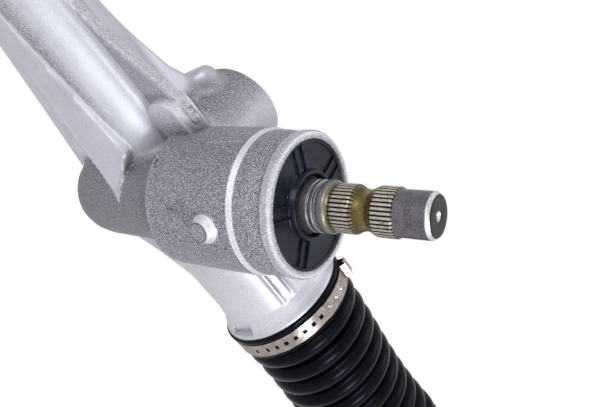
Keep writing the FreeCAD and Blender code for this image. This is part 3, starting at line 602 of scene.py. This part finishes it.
bores = [
    cutter("rack_bore", RACK_BORE_R, LEFT_END - OVER, RIGHT_END + OVER, ALONG_RACK, 64),
    cutter("right_stop", STOP_R, RIGHT_END - STOP_DEPTH, RIGHT_END + OVER, ALONG_RACK),
    cutter("left_stop", STOP_R, LEFT_END - OVER, LEFT_END + STOP_DEPTH, ALONG_RACK),
    turned("pinion_bore", [(0, -33), (9.5, -33), (9.5, -17.5), (10.4, -17.5), (10.4, 22), (23.5, 22),
                           (23.5, RIM - 16), (23.8, RIM - 15), (23.8, RIM - 0.4), (24.3, RIM + 2),
                           (0, RIM + 2)], ALONG_SHAFT, 144),
    turned("yoke_bore", [(0, 0.3), (16, 0.3), (16, BARREL_END - 12), (17, BARREL_END - 11.5),
                         (17, BARREL_END - 1), (18.2, BARREL_END + 0.2), (18.2, BARREL_END + 4),
                         (0, BARREL_END + 4)], ALONG_YOKE),
    cutter("yoke_face", BARREL_R + 6, BARREL_END, BARREL_END + 8, ALONG_YOKE),
    *[cutter("foot_bore", FOOT_BORE_R, -FOOT_HALF - 4, FOOT_HALF + 4, Matrix.Translation((foot_x, FOOT_Y, 0)))
      for foot_x in FOOT_X],
]
notch = block("notch", [(x, y, z) for x in (LIP - 10.6, LIP - 2) for y in (-FLARE_R - 6.6, -FLARE_R - 0.6)
                        for z in (-9, 5)])
for tool in (drum_boss, rib_boss, mouth, notch):
    tool.data.materials.append(casting_metal)
for tool in (*seat_tools, *bores):
    tool.data.materials.append(machined_metal)
machined(housing, "UNION", drum_boss, rib_boss)
machined(housing, "DIFFERENCE", mouth, notch, *seat_tools, *bores)


def ramp(value, start, stop):
    """0 up to start, 1 from stop, and in between by how far the value has come."""
    return np.clip((value - start) / (stop - start), 0, 1)


# The grain is strong on the drum, the yoke barrel and the top rib, and faint elsewhere. It is made strong as
# painted shade too: on the tower's near side, in the valley over the gusset, towards the barrel's left side
# and, in part, on the drum.
points = drawn_corners(housing).T
x, y, z = points
height, radius = on_shaft(x, y, z)
on_drum = ramp(height, DRUM_BOTTOM - 0.2, DRUM_BOTTOM + 0.6) * ramp(radius, 36, 31)
off_gusset = np.abs(gusset_distance(x, y, z)) > 0.6
on_tower = off_gusset * ramp(np.abs(tower_distance(x, y, z)), 2.0, 0.8)
near_side = on_tower * ramp(radius, 27, 22) * ramp(y, -4, -8) * (height < 20)
barrel = ramp(y, 12, 20) * ramp(np.hypot(x, z), 30, 24) * np.clip(0.55 - x / 30, 0.4, 1)
top_rib = 0.7 * (np.abs(y + 1.75) < 2.6) * (z > 20) * (x < -13)
valley = 0.75 * off_gusset * ramp(z, 11, 6) * (z > 0) * ramp(y, -13, -15) * (x < -24)
faint = np.full(len(x), 0.2)

# The drum's rim is rubbed bright; a painted highlight lightens the drum's bevel and the flank of its boss,
# and the flare by half.
here = casting_distance(x, y, z)
on_skin = np.abs(here) < 0.3
bevel = (height > RIM - 17.3) & (height < RIM - 15.1) & (radius > DRUM_R - 1) & (radius < DRUM_R)
flange = (height > RIM - 3.8) & (radius > 23.9) & (radius < DRUM_R + 1)
face = (height > RIM - 0.05) & flange
from_foot = points.T - np.array(boss_foot)
boss_height = from_foot @ np.array(boss_out)
boss_radius = np.sqrt(np.maximum((from_foot ** 2).sum(axis=-1) - boss_height ** 2, 0))
flank = (boss_height > DRUM_R + 0.4) & (boss_height < DRUM_R + 3.5) & (boss_radius < 6.5)
flare = 0.5 * ramp(x, 24, 38) * on_skin * ramp(x, LIP - 1, LIP - 4)

# Painted shade darkens the inner corners, and a painted highlight, which also stands for handling wear,
# lightens the outer edges: how much the skin closes in or falls away 1.5 mm, or 5 mm, from each point tells
# which. Painted shade also darkens the drum's lower edge, the ring on its boss and the tower just below the
# drum.
slope = casting_slope(x, y, z)
outward = slope / np.maximum(np.sqrt((slope ** 2).sum(axis=0)), 1e-5)
painted_shade = np.max([np.clip((here + out - casting_distance(*(points + out * outward))) / out, 0, 1)
                  for out in (1.5, 5)], axis=0)
ridge = np.clip((casting_distance(*(points - 1.5 * outward)) - here + 1.5) / 1.5, 0, 1)
drum_edge_shade = ramp(np.abs(height - DRUM_BOTTOM - 0.3), 1.1, 0) * (radius > 26) * (radius < DRUM_R + 0.5)
ring = (boss_height > DRUM_R + 3.5) & (boss_radius > 3.2) & (boss_radius < 4.2)
under = 0.5 * on_tower * ramp(height, DRUM_BOTTOM + 1, DRUM_BOTTOM - 1) * ramp(radius, 25, 21) * (y < 2)
edges = np.zeros(len(housing.data.edges) * 2, int)
housing.data.edges.foreach_get("vertices", edges)
one, two = edges.reshape(-1, 2).T
meets = np.bincount(one, minlength=len(x)) + np.bincount(two, minlength=len(x)) + 1
wear_and_painted_light = {"painted_shade": painted_shade * on_skin, "ridge": ridge * on_skin}
for name, values in wear_and_painted_light.items():
    for smoothing in range(3):
        spread = np.bincount(one, values[two], len(x)) + np.bincount(two, values[one], len(x))
        around = (spread + values) / meets
        values = np.maximum(values, around) if smoothing == 0 else around
    wear_and_painted_light[name] = values
wear_and_painted_light["painted_shade"] = np.maximum.reduce([wear_and_painted_light["painted_shade"], drum_edge_shade * 0.8, ring * 0.7, under])
wear_and_painted_light["ridge"] *= (x < 42) | (z < 15)
wear_and_painted_light["grain_and_shade"] = np.maximum.reduce([on_drum, near_side, barrel, top_rib, valley, faint])
wear_and_painted_light["rubbed_and_highlit"] = np.maximum.reduce([bevel * 1.0, face * 1.0, flange * 0.45, flank * 0.9, flare])
for name, values in wear_and_painted_light.items():
    mark_corners(housing, name, values)
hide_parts("housing")
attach(housing, "rack_housing")

# Pinion shaft: an alloy steel forging with a needle journal, seven helical teeth, a bearing journal and
# the splined end for the steering joint. It is turned, its two splined lengths and the clamp bolt's waist
# are passivated yellow, and the plain pilot and the shoulder by the cap are bare turned steel.
SHAFT_R = 9.6
SPLINE_R = 8.75
SPLINE_ROOT_R = 7.75
SPLINE_TEETH = 36
PINION_TEETH = 7
PINION_TIP_R = 9.5
PINION_ROOT_R = 5.6
LEAD = 0.0422  # radians that the teeth turn in each millimetre of height
shaft_outline = eased([
    (0, -32.5), (5.4, -32.5), (6, -31.9), (6, -17.6), (5.7, -16.4), (PINION_TIP_R, -16),
    (PINION_TIP_R, 16), (7.5, 17.5), (11.6, 18.4), (11.6, 22), (10, 22), (10, 36.1), (9.4, 36.1),
    (9.4, 37.5), (SHAFT_R, 37.5),
    *moved([(SHAFT_R, 3.1, 0.2), (SHAFT_R - 0.5, 3.3, 0.2), (SHAFT_R - 0.5, 3.7, 0.2), (SHAFT_R, 3.9, 0.2),
            (SHAFT_R, 5.4, 0.3), (8.7, 5.7, 0.2), (8.7, 6.5, 0.2), (SHAFT_R, 6.8, 0.3),
            (SHAFT_R, 9.5, 0.5), (SHAFT_R - 0.7, 10.3, 0.3), (SPLINE_R - 0.2, 11.2, 0.3),
            (SPLINE_R, 12.0, 0.4), (SPLINE_R, 18.9, 0.6), (8.0, 20.0, 0.6), (7.35, 21.6, 0.8),
            (7.1, 23.1, 0.8), (7.35, 24.6, 0.8), (8.0, 26.0, 0.6), (SPLINE_R, 27.4, 0.7),
            (SPLINE_R, 34.3, 0.3), (8.03, 34.9), (8.03, 46.3, 0.1), (6.95, 47.6, 0.1), (2.0, 47.6, 0.1),
            (0.9, 45.8), (0, 45.0)], 0, RIM)])
ROW_STEP = 0.8
rows = [shaft_outline[0]]
for point in shaft_outline[1:]:
    parts = max(1, int(abs(point.y - rows[-1].y) / ROW_STEP)) if rows[-1].x > 1 else 1
    start = rows[-1]
    rows += [start.lerp(point, (k + 1) / parts) for k in range(parts)]


def cut_teeth(radius, height, turn):
    """Cut the splines and the helical teeth into the turned shaft."""
    spline = np.abs(((turn * SPLINE_TEETH / 2 / pi) % 1) - 0.5) * 2
    spline = SPLINE_ROOT_R + (SPLINE_R - SPLINE_ROOT_R) * np.clip((spline - 0.16) / 0.26, 0, 1)
    splined = (height > RIM + 11.0) & (height < RIM + 34.85)
    radius = np.where(splined, np.minimum(radius, spline), radius)
    tooth = np.abs((((turn - height * LEAD) * PINION_TEETH / 2 / pi) % 1) - 0.5) * 2
    tooth = PINION_ROOT_R + (PINION_TIP_R - PINION_ROOT_R) * np.clip((tooth - 0.28) / 0.42, 0, 1)
    return np.where(np.abs(height) < 16.2, np.minimum(radius, tooth), radius), height


shaft = turned("pinion_input_shaft", rows, ALONG_SHAFT, 360, cut_teeth, 28)
height, radius = on_shaft(*drawn_corners(shaft).T)
mark_corners(shaft, "above_rim", height - RIM)
mark_corners(shaft, "from_axis", radius)

# Turned steel, part of it zinc plated and passivated yellow: ochre round the waist with a painted highlight
# band, olive-brown between the splines with painted shade in their roots, and worn to grey steel on their
# crests, the grey also a painted highlight, with turning marks 0.25 mm apart on the pilot. The pilot's end
# chamfer has a painted highlight and its end face a near-black painted reflection.
shaft_metal, tree = new_material("turned_and_passivated_steel")
place = add_node(tree, "TexCoord").outputs["Object"]
above = add_node(tree, "Attribute", {"attribute_name": "above_rim"}).outputs["Fac"]
out = add_node(tree, "Attribute", {"attribute_name": "from_axis"}).outputs["Fac"]
blotch = add_node(tree, "TexNoise", Vector=place, Scale=1 / (3 * MM), Detail=5.0, Roughness=0.65)
rings = add_node(tree, "TexNoise", {"noise_dimensions": "1D"}, W=above, Scale=1 / 0.25, Detail=2.0)
fine = add_node(tree, "TexNoise", Vector=place, Scale=1 / (0.6 * MM), Detail=3.0, Roughness=0.7)
reach = add_node(tree, "MapRange", Value=above, From_Max=48.0)
# Painted highlight on the waist's pale band and the end chamfer; painted reflection, near black, on the end
# face.
along = add_node(tree, "ValToRGB",
                 {"stops": ((0.0, "#8d8c90"), (0.19, "#939297"), (0.2, "#8f8a70"), (0.222, "#6f6858"),
                            (0.40, "#6f6858"), (0.435, "#988b5a"), (0.50, "#cdc397"), (0.56, "#857448"),
                            (0.60, "#6a6458"), (0.71, "#6d675c"), (0.73, "#737077"), (0.955, "#6c6a72"),
                            (0.966, "#dcdce0"), (0.986, "#d0d0d5"), (0.988, "#1b1716"))},
                 Fac=reach)
# The crests' grey is wear and also a painted highlight.
crest = add_node(tree, "MapRange", Value=out, From_Min=8.55, From_Max=8.74)
splined = add_node(tree, "MapRange", Value=above, From_Min=11.6, From_Max=12.0)
worn_and_highlit = add_node(tree, "Math", {"operation": "MULTIPLY"}, _0=crest, _1=splined)
# Painted shade darkens the roots between the splines.
root = add_node(tree, "MapRange", Value=out, From_Min=8.3, From_Max=7.8)
hollow = add_node(tree, "Math", {"operation": "MULTIPLY"}, _0=root, _1=splined)
notched = add_node(tree, "MapRange", Value=above, From_Min=34.9, From_Max=34.6)
hollow = add_node(tree, "Math", {"operation": "MULTIPLY"}, _0=hollow, _1=notched)
tone = add_node(tree, "Mix", Factor=worn_and_highlit, _6=along, _7=linear("#c4bfb3"))
tone = add_node(tree, "Mix", {"blend_type": "MULTIPLY"}, Factor=hollow, _6=tone, _7=linear("#a39a80"))
patch = add_node(tree, "MapRange", Value=blotch, From_Min=0.3, From_Max=0.7, To_Min=0.2, To_Max=0.9)
shade = add_node(tree, "ValToRGB", {"stops": ((0.32, "#5d5550"), (0.62, "#ffffff"))}, Fac=fine)
tone = add_node(tree, "Mix", {"blend_type": "MULTIPLY"}, Factor=patch, _6=tone, _7=shade)
rust = add_node(tree, "TexNoise", Vector=place, Scale=1 / (5 * MM), Detail=4.0, Roughness=0.7)
rusty = add_node(tree, "MapRange", Value=rust, From_Min=0.56, From_Max=0.7, To_Max=0.6)
tone = add_node(tree, "Mix", Factor=rusty, _6=tone, _7=linear("#5a4232"))
bump = add_node(tree, "Bump", Height=rings, Strength=0.5, Distance=0.06 * MM)
metal = add_node(tree, "BsdfPrincipled", Base_Color=tone, Metallic=0.85, Roughness=0.4, Normal=bump)
add_node(tree, "OutputMaterial", Surface=metal)
shaft.data.materials.append(shaft_metal)
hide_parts("pinion_shaft")
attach(shaft, "pinion")

# Dust cap: black glass-filled nylon, moulded with a skirt that presses into the drum, a dished face with
# five pairs of fine ribs, and a raised hub with a lip on the shaft.
CAP_R = 23.75
RIB_PAIRS = 5
FIRST_PAIR = 22  # degrees round from the x axis
PAIR_HALF = 2.3

# Black nylon, moulded: a fine leather-like die texture of about 0.5 mm under a soft gloss, with blue-grey
# patches of 6 mm that are a painted sheen, and specks of dust.
nylon, tree = new_material("moulded_black_nylon")
place = add_node(tree, "TexCoord").outputs["Object"]
fine = add_node(tree, "TexNoise", Vector=place, Scale=1 / (0.5 * MM), Detail=2.0)
sheen_mottle = add_node(tree, "TexNoise", Vector=place, Scale=1 / (6 * MM), Detail=5.0, Roughness=0.7)
# Painted sheen: blue-grey patches in the black tone.
tone = add_node(tree, "ValToRGB", {"stops": ((0.4, "#0a0c14"), (0.7, "#1a2033"))}, Fac=sheen_mottle)
speck = add_node(tree, "TexNoise", Vector=place, Scale=1 / (1.1 * MM), Detail=3.0)
specks = add_node(tree, "MapRange", Value=speck, From_Min=0.735, From_Max=0.77)
tone = add_node(tree, "Mix", Factor=specks, _6=tone, _7=linear("#9a9ca4"))
matt = add_node(tree, "MapRange", Value=sheen_mottle, From_Min=0.35, From_Max=0.7, To_Min=0.25, To_Max=0.4)
bump = add_node(tree, "Bump", Height=fine, Strength=0.1, Distance=0.1 * MM)
plastic = add_node(tree, "BsdfPrincipled", Base_Color=tone, Roughness=matt, Normal=bump,
                   Specular_IOR_Level=0.18)
add_node(tree, "OutputMaterial", Surface=plastic)

cap = turned("dust_cap_moulding", eased(moved([
    (SHAFT_R + 0.08, -5), (SHAFT_R + 1.6, -5), (SHAFT_R + 1.6, -2.9, 0.5), (CAP_R - 1.8, -2.9, 0.4),
    (CAP_R - 1.8, -13), (CAP_R, -13), (CAP_R, -0.6, 0.4), (CAP_R - 0.9, -0.5, 0.3),
    (CAP_R - 1.3, -1.3, 0.25), (13.4, -1.3, 0.6), (12.7, 0.9, 0.5), (11.5, 1.0, 0.4), (10.6, -1.4, 0.3),
    (SHAFT_R + 0.08, -1.6, 0.2)], 0, RIM)),
    ALONG_SHAFT, 144)
cap.data.materials.append(nylon)
ribs = []
for pair in range(RIB_PAIRS):
    turn = radians(FIRST_PAIR + 360 / RIB_PAIRS * pair)
    along, across = Vector((cos(turn), sin(turn), 0)), Vector((-sin(turn), cos(turn), 0))
    for side in (-PAIR_HALF, PAIR_HALF):
        corners = [along * r + across * (side + edge * half) + Vector((0, 0, z))
                   for r in (13.0, CAP_R - 1.1) for edge in (-1, 1)
                   for z, half in ((RIM - 1.8, 0.45), (RIM - 0.45, 0.3))]
        rib = block("cap_rib", corners, ALONG_SHAFT)
        rib.data.materials.append(nylon)
        ribs.append(rib)
machined(cap, "UNION", *ribs)
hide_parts("dust_cap")
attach(cap, "rack_housing")

# Bellows: blow-moulded black elastomer. A collar stretches over the housing's seat, fifteen folds follow,
# and the small end grips the tie rod. Fitted, it sags a little between its two ends.
CREST_R = 30.2
VALLEY_R = 25.6
PITCH = 10.6
FOLDS = 15
FOLD_STEPS = 12
COLLAR_R = SEAT_R + 1.5
COLLAR_END = 14
ROD_R = 7.0
SAG = 7.0
FIRST_FOLD = 13.4
FIRST_SWELL = 0.9
SPLIT_FOLD = 10  # the folds before it make one piece, the others a second piece
LAST_FOLDS = 5  # these taper down to the rod
TAPER = 2.6
TAIL = FIRST_FOLD + FOLDS * PITCH + 1.5
WALL = 1.5
ENDS = (("right", LIP, 1), ("left", LEFT_LIP, -1))
collar = eased([(SEAT_R + 0.02, 0), (COLLAR_R + 0.9, 0.1, 0.6), (COLLAR_R + 0.9, 2.2, 0.6),
                (COLLAR_R, 2.9, 0.4), (COLLAR_R, 10.6, 0.3), (COLLAR_R + 0.3, 11.2, 0.5),
                (COLLAR_R + 0.1, 12.6, 0.6)])[1:]
outline = [tuple(point) for point in collar]
for fold in range(FOLDS):
    start = FIRST_FOLD + fold * PITCH
    before = FIRST_SWELL * max(0, 1 - fold / 2) - max(0, fold - FOLDS + LAST_FOLDS) * TAPER
    after = -max(0, fold + 1 - FOLDS + LAST_FOLDS) * TAPER
    for step in range(FOLD_STEPS):
        t = step / FOLD_STEPS
        swell = (1 - (2 * t - 1) ** 2) ** 0.62 if t else 0
        outline.append((VALLEY_R + (CREST_R - VALLEY_R) * swell + before * (1 - t) + after * t,
                        start + t * PITCH))
outline += [tuple(point) for point in eased([
    (11.5, TAIL - 2.0, 1), (ROD_R + 3.4, TAIL + 0.3, 0.5), (ROD_R + 3.4, TAIL + 3, 0.4),
    (ROD_R + 2, TAIL + 3.5, 0.3), (ROD_R + 2, TAIL + 9.5, 0.3), (ROD_R + 3.4, TAIL + 10, 0.4),
    (ROD_R + 3.4, TAIL + 12, 0.5)])]

# Black thermoplastic elastomer: nearly black and semi-gloss, so each fold carries one soft highlight, painted
# blue-grey by the tint on its reflections, with a faint bloom in patches of 12 mm.
boot_rubber, tree = new_material("moulded_black_elastomer")
place = add_node(tree, "TexCoord").outputs["Object"]
bloom = add_node(tree, "TexNoise", Vector=place, Scale=1 / (12 * MM), Detail=6.0, Roughness=0.65)
fine = add_node(tree, "TexNoise", Vector=place, Scale=1 / (0.7 * MM), Detail=2.0)
tone = add_node(tree, "ValToRGB", {"stops": ((0.35, "#050609"), (0.7, "#0c0d12"))}, Fac=bloom)
bump = add_node(tree, "Bump", Height=fine, Strength=0.05, Distance=0.1 * MM)
rubber = add_node(tree, "BsdfPrincipled", Base_Color=tone, Roughness=0.27, Normal=bump,
                  Specular_IOR_Level=0.08, Specular_Tint=linear("#c8cdf2"))
add_node(tree, "OutputMaterial", Surface=rubber)

split = FIRST_FOLD + SPLIT_FOLD * PITCH
for side, lip, sign in ENDS:
    rod = side + "_tie_rod"
    for part, first, last, near_body, far_body, hole_r in (
            ("housing_part", 0, split, "rack_housing", "rack", SEAT_R),
            ("rod_part", split, TAIL + 20, "rack", rod, ROD_R)):
        outer = [p for p in outline if first - 1e-6 <= p[1] <= last + 1e-6]
        inner = [(r - WALL if part == "housing_part" and h > 12 else max(r - WALL, hole_r + 0.02), h)
                 for r, h in outer]
        piece = turned("bellows_%s_%s" % (side, part), outer + inner[::-1],
                       Matrix.Rotation(sign * pi / 2, 4, "Y"), 128)
        places = drawn_corners(piece)
        places[:, 2] -= SAG * np.sin(ramp(places[:, 0] * sign, COLLAR_END, TAIL - 2) * pi) ** 2
        places[:, 0] += lip
        piece.data.vertices.foreach_set("co", (places * MM + np.array(RACK_LINE)).ravel())
        piece.data.update()
        piece.data.materials.append(boot_rubber)
        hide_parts("bellows_" + side)
        start, end = max(first, COLLAR_END), min(last, TAIL)
        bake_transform(piece)

# Clamp bands: one strip of stainless steel round each bellows' collar. Its pierced tail runs under the
# outer lap, three dimples hold the lap, and a crimped ear draws it tight.
BAND_THICK = 0.6
BAND_LOW = 3.1
BAND_HIGH = 10.5
EAR_AT = 54  # degrees round the band, as the lap's ends, the dimples and the holes are
LAP_START = 47
LAP_END = 105.5
DIMPLES = (79.1, 88.4, 98.6)
SQUARE_HOLES = (110.6, 119.2, 128.3, 137.7, 146.9)
SLOTS = (156, 165.4, 177.4)
DIMPLE_HEIGHT = 0.9
EAR_HEIGHT = 2.9

# Stainless strip, cold rolled: bright, its warm pinkish tone a painted reflection, with scuffs of 4 mm that
# make it shine in patches.
stainless, tree = new_material("cold_rolled_stainless_steel")
place = add_node(tree, "TexCoord").outputs["Object"]
scuff = add_node(tree, "TexNoise", Vector=place, Scale=1 / (4 * MM), Detail=5.0, Roughness=0.7)
tone = add_node(tree, "ValToRGB", {"stops": ((0.35, "#8b817e"), (0.65, "#aaa29f"))}, Fac=scuff)
matt = add_node(tree, "MapRange", Value=scuff, From_Min=0.35, From_Max=0.65, To_Min=0.2, To_Max=0.32)
metal = add_node(tree, "BsdfPrincipled", Base_Color=tone, Metallic=1.0, Roughness=matt,
                 Specular_Tint=linear("#ddd8d6"))
add_node(tree, "OutputMaterial", Surface=metal)


def wrapped(name, lip, sign, turns, low, high, thick, radius):
    """A strip wrapped round the rack line over the turns in degrees; radius(turn, across) is its inside."""
    turn = np.radians(turns)
    across = np.linspace(low, high, 11)
    angle, width = np.meshgrid(turn, across, indexing="ij")
    inside = radius(np.degrees(angle), width)
    layers = [np.stack([lip + sign * width, r * np.cos(angle), r * np.sin(angle)], axis=-1)
              for r in (inside, inside + thick)]
    corners = np.concatenate([layer.reshape(-1, 3) for layer in layers])
    index = np.arange(len(corners)).reshape(2, len(turns), len(across))
    whole = abs(turns[-1] - turns[0]) > 359
    if whole:
        index[:, -1] = index[:, 0]
    faces = []
    for k in range(len(turns) - 1):
        for j in range(len(across) - 1):
            faces.append((index[0, k, j], index[0, k, j + 1], index[0, k + 1, j + 1], index[0, k + 1, j]))
            faces.append((index[1, k, j], index[1, k + 1, j], index[1, k + 1, j + 1], index[1, k, j + 1]))
        faces.append((index[0, k, 0], index[0, k + 1, 0], index[1, k + 1, 0], index[1, k, 0]))
        faces.append((index[0, k, -1], index[1, k, -1], index[1, k + 1, -1], index[0, k + 1, -1]))
    for j in range(0 if whole else len(across) - 1):
        faces.append((index[0, 0, j], index[1, 0, j], index[1, 0, j + 1], index[0, 0, j + 1]))
        faces.append((index[0, -1, j], index[0, -1, j + 1], index[1, -1, j + 1], index[1, -1, j]))
    used, compact = np.unique(np.array(faces), return_inverse=True)
    strip = finished(name, corners[used], compact.reshape(-1, 4))
    face_outward(strip)
    strip.data.materials.append(stainless)
    return strip


def lap_inside(turn, across):
    """The lap lies on the strip, with three dimples standing out and the ear crimped at its end."""
    inside = np.full(turn.shape, COLLAR_R + BAND_THICK + 0.08)
    for dimple in DIMPLES:
        reach = ((turn - dimple) / 1.9) ** 2 + ((across - (BAND_LOW + BAND_HIGH) / 2) / 1.3) ** 2
        inside += DIMPLE_HEIGHT * np.sqrt(np.maximum(1 - reach, 0))
    ear = np.clip((5.4 - np.abs(turn - EAR_AT)) / 1.2, 0, 1)
    crimp = np.exp(-((turn - EAR_AT) / 1.3) ** 2)
    return inside + ear * (EAR_HEIGHT - 1.0 * crimp)


for side, lip, sign in ENDS:
    band = wrapped("clamp_band_%s_strip" % side, lip, sign, np.arange(0, 361, 2.5), BAND_LOW, BAND_HIGH,
                   BAND_THICK, lambda turn, across: np.full(turn.shape, COLLAR_R + 0.04))
    punches = []
    for holes, long, wide in ((SQUARE_HOLES, 1.0, 1.0), (SLOTS, 0.7, 1.1)):
        for hole in holes:
            place = (Matrix.Rotation(radians(hole), 4, "X")
                     @ Matrix.Translation((lip + sign * (BAND_LOW + BAND_HIGH) / 2, COLLAR_R, 0)))
            punch = block("band_punch", [(a * wide, b * 3, c * long) for a in (-1, 1) for b in (-1, 1)
                                         for c in (-1, 1)], place)
            punch.data.materials.append(stainless)
            punches.append(punch)
    machined(band, "DIFFERENCE", *punches)
    lap = wrapped("clamp_band_%s_lap" % side, lip, sign, np.arange(LAP_START, LAP_END + 0.1, 0.5),
                  BAND_LOW + 0.1, BAND_HIGH - 0.1, BAND_THICK, lap_inside)
    for piece in (band, lap):
        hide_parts("clamp_band_" + side)
        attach(piece, "rack_housing")


def finish(material, *nodes):
    """Give the CAD's own solids a finish."""
    for node in nodes:
        for slot in frame["nodes"][node].material_slots:
            slot.material = material


def plain_finish(name, dark, light, mottle, grit, roughness, metallic, depth):
    """A material of two tones mottled over a length, with a surface grit of a size, both in millimetres."""
    material, tree = new_material(name)
    place = add_node(tree, "TexCoord").outputs["Object"]
    mottling = add_node(tree, "TexNoise", Vector=place, Scale=1 / (mottle * MM), Detail=5.0, Roughness=0.65)
    fine = add_node(tree, "TexNoise", Vector=place, Scale=1 / (grit * MM), Detail=2.0)
    tone = add_node(tree, "ValToRGB", {"stops": ((0.32, dark), (0.68, light))}, Fac=mottling)
    bump = add_node(tree, "Bump", Height=fine, Strength=depth, Distance=0.1 * MM)
    surface = add_node(tree, "BsdfPrincipled", Base_Color=tone, Metallic=metallic, Roughness=roughness,
                       Normal=bump, Specular_IOR_Level=0.5 if metallic else 0.3)
    add_node(tree, "OutputMaterial", Surface=surface)
    return material


# Pinion bearings: hardened chromium steel rings, balls and rollers, ground and polished to a mirror grey
# with a film of oil, held by a zinc-plated threaded nut that carries the rubber shaft seal.
ground_steel = plain_finish("ground_bearing_steel", "#97989c", "#adaeb2", 8, 0.4, 0.2, 1.0, 0.04)
zinc_plate = plain_finish("zinc_plated_steel", "#989aa0", "#b4b6bc", 5, 0.5, 0.32, 0.9, 0.1)
nitrile = plain_finish("moulded_nitrile_rubber", "#0b0b0d", "#17181b", 6, 0.6, 0.5, 0.0, 0.15)
finish(ground_steel, "bearing_outer_ring", "bearing_inner_ring", "bearing_balls", "needle_cup",
       "needle_rollers")
finish(zinc_plate, "retainer_nut")
finish(nitrile, "shaft_seal")
spring_steel = plain_finish("oil_tempered_spring_steel", "#3c3a3a", "#575452", 4, 0.5, 0.4, 0.9, 0.1)
finish(spring_steel, "pinion_circlip")

# Rack bar: an induction-hardened steel bar with its teeth broached, its back ground and a thin coat of
# grease; it runs in a white acetal bush at the far end.
hardened_steel = plain_finish("hardened_and_ground_steel", "#807d7a", "#a09d9a", 10, 0.5, 0.26, 0.95, 0.08)
acetal = plain_finish("moulded_white_acetal", "#d9d7ce", "#e9e7e0", 12, 0.8, 0.4, 0.0, 0.05)
finish(hardened_steel, "rack_bar")
finish(acetal, "rack_bush")

# Yoke and plug: turned aluminium alloy, the yoke with a slippery liner against the rack, an O-ring and a
# spring behind it, closed by a threaded plug with a hexagon socket.
turned_alloy = plain_finish("turned_aluminium_alloy", "#a9abb0", "#c2c4c9", 6, 0.4, 0.34, 0.9, 0.12)
finish(turned_alloy, "yoke", "yoke_plug")
finish(acetal, "yoke_liner")
finish(nitrile, "yoke_o_ring")
finish(spring_steel, "yoke_spring")

# Mounting feet: each has a black natural-rubber bush bonded round a zinc-plated steel sleeve.
natural_rubber = plain_finish("bonded_natural_rubber", "#101012", "#1f1f22", 9, 0.7, 0.55, 0.0, 0.2)
finish(natural_rubber, "foot_rubber_a", "foot_rubber_b")
finish(zinc_plate, "foot_sleeve_a", "foot_sleeve_b")

# Tie rods: forged steel, phosphated dark grey and oiled, each with its ball in an acetal seat inside a
# joint socket that screws into the rack over a lock washer; a plated nut jams the outer thread, and a
# spring-steel clip holds the bellows' small end.
phosphated = plain_finish("phosphated_forged_steel", "#3a3b3d", "#56575a", 5, 0.5, 0.46, 0.7, 0.25)
for side in ("right", "left"):
    finish(phosphated, "socket_" + side, "tie_rod_" + side)
    finish(zinc_plate, "lock_washer_" + side, "jam_nut_" + side, "boot_clip_" + side)
    finish(acetal, "ball_seat_" + side)

# Camera: the photograph looks down on the drum from the pinion's side.
camera_data = bpy.data.cameras.new("camera")
camera = bpy.data.objects.new("camera", camera_data)
bpy.context.scene.collection.objects.link(camera)
camera_data.lens = 39.70
camera_data.sensor_width = 36.0
camera_data.clip_start = 0.01
CAMERA_AT = Vector((-79.102, -150.018, 230.780))
CAMERA_RIGHT = Vector((0.54846, 0.45955, 0.69858))
CAMERA_UP = Vector((-0.72831, 0.67297, 0.12910))
CAMERA_BACK = Vector((-0.41079, -0.57959, 0.70379))
turn = Matrix((CAMERA_RIGHT, CAMERA_UP, CAMERA_BACK)).transposed().to_4x4()
camera.matrix_world = Matrix.Translation(TO_FRAME @ CAMERA_AT) @ turn
bpy.context.scene.camera = camera

# Studio: a pale floor well below the part, a white surround, one key lamp and two weak fills. The floor
# and the surround are white to the camera and in reflections, and light the part only a little.
scene = bpy.context.scene
scene.view_settings.view_transform = "Standard"
FLOOR_HALF = 2500
FLOOR_DROP = 300
floor = finished("floor", [(-FLOOR_HALF, -FLOOR_HALF, -FLOOR_DROP), (FLOOR_HALF, -FLOOR_HALF, -FLOOR_DROP),
                           (FLOOR_HALF, FLOOR_HALF, -FLOOR_DROP), (-FLOOR_HALF, FLOOR_HALF, -FLOOR_DROP)],
                 [(0, 1, 2, 3)])
floor_paint, tree = new_material("pale_floor")


def seen_as_background(tree):
    """1 where the camera, a reflection or a look through the part meets the surface, and 0 for its light."""
    path = add_node(tree, "LightPath")
    seen = add_node(tree, "Math", {"operation": "MAXIMUM"}, _0=path.outputs["Is Camera Ray"],
                    _1=path.outputs["Is Glossy Ray"])
    return add_node(tree, "Math", {"operation": "MAXIMUM"}, _0=seen, _1=path.outputs["Is Transmission Ray"])


seen = seen_as_background(tree)
share = add_node(tree, "Math", {"operation": "MULTIPLY"}, _0=seen, _1=0.95)
plain = add_node(tree, "BsdfDiffuse", Color=linear("#c8c8c8"))
white = add_node(tree, "Emission", Color=linear("#ffffff"), Strength=1.04)
surface = add_node(tree, "MixShader", _0=share, _1=plain, _2=white)
add_node(tree, "OutputMaterial", Surface=surface)
floor.data.materials.append(floor_paint)

world = bpy.data.worlds.new("surround")
scene.world = world
world.use_nodes = True
tree = world.node_tree
tree.nodes.clear()
strength = add_node(tree, "MapRange", Value=seen_as_background(tree), To_Min=0.3, To_Max=1.0)
air = add_node(tree, "Background", Color=linear("#ffffff"), Strength=strength)
add_node(tree, "OutputWorld", Surface=air)


def soft_lamp(name, place, size, power):
    """A square soft box that looks at the drum."""
    data = bpy.data.lights.new(name, "AREA")
    data.size = size
    data.energy = power
    lamp = bpy.data.objects.new(name, data)
    bpy.context.scene.collection.objects.link(lamp)
    lamp.location = TO_FRAME @ Vector(place)
    aim = (TO_FRAME @ Vector((0, 0, 30))) - lamp.location
    lamp.rotation_euler = aim.to_track_quat("-Z", "Y").to_euler()


soft_lamp("key", (370, -520, 630), 0.3, 5.7)
soft_lamp("fill", (-700, -300, 500), 0.35, 3.8)
soft_lamp("back", (200, 600, 700), 0.5, 2.0)
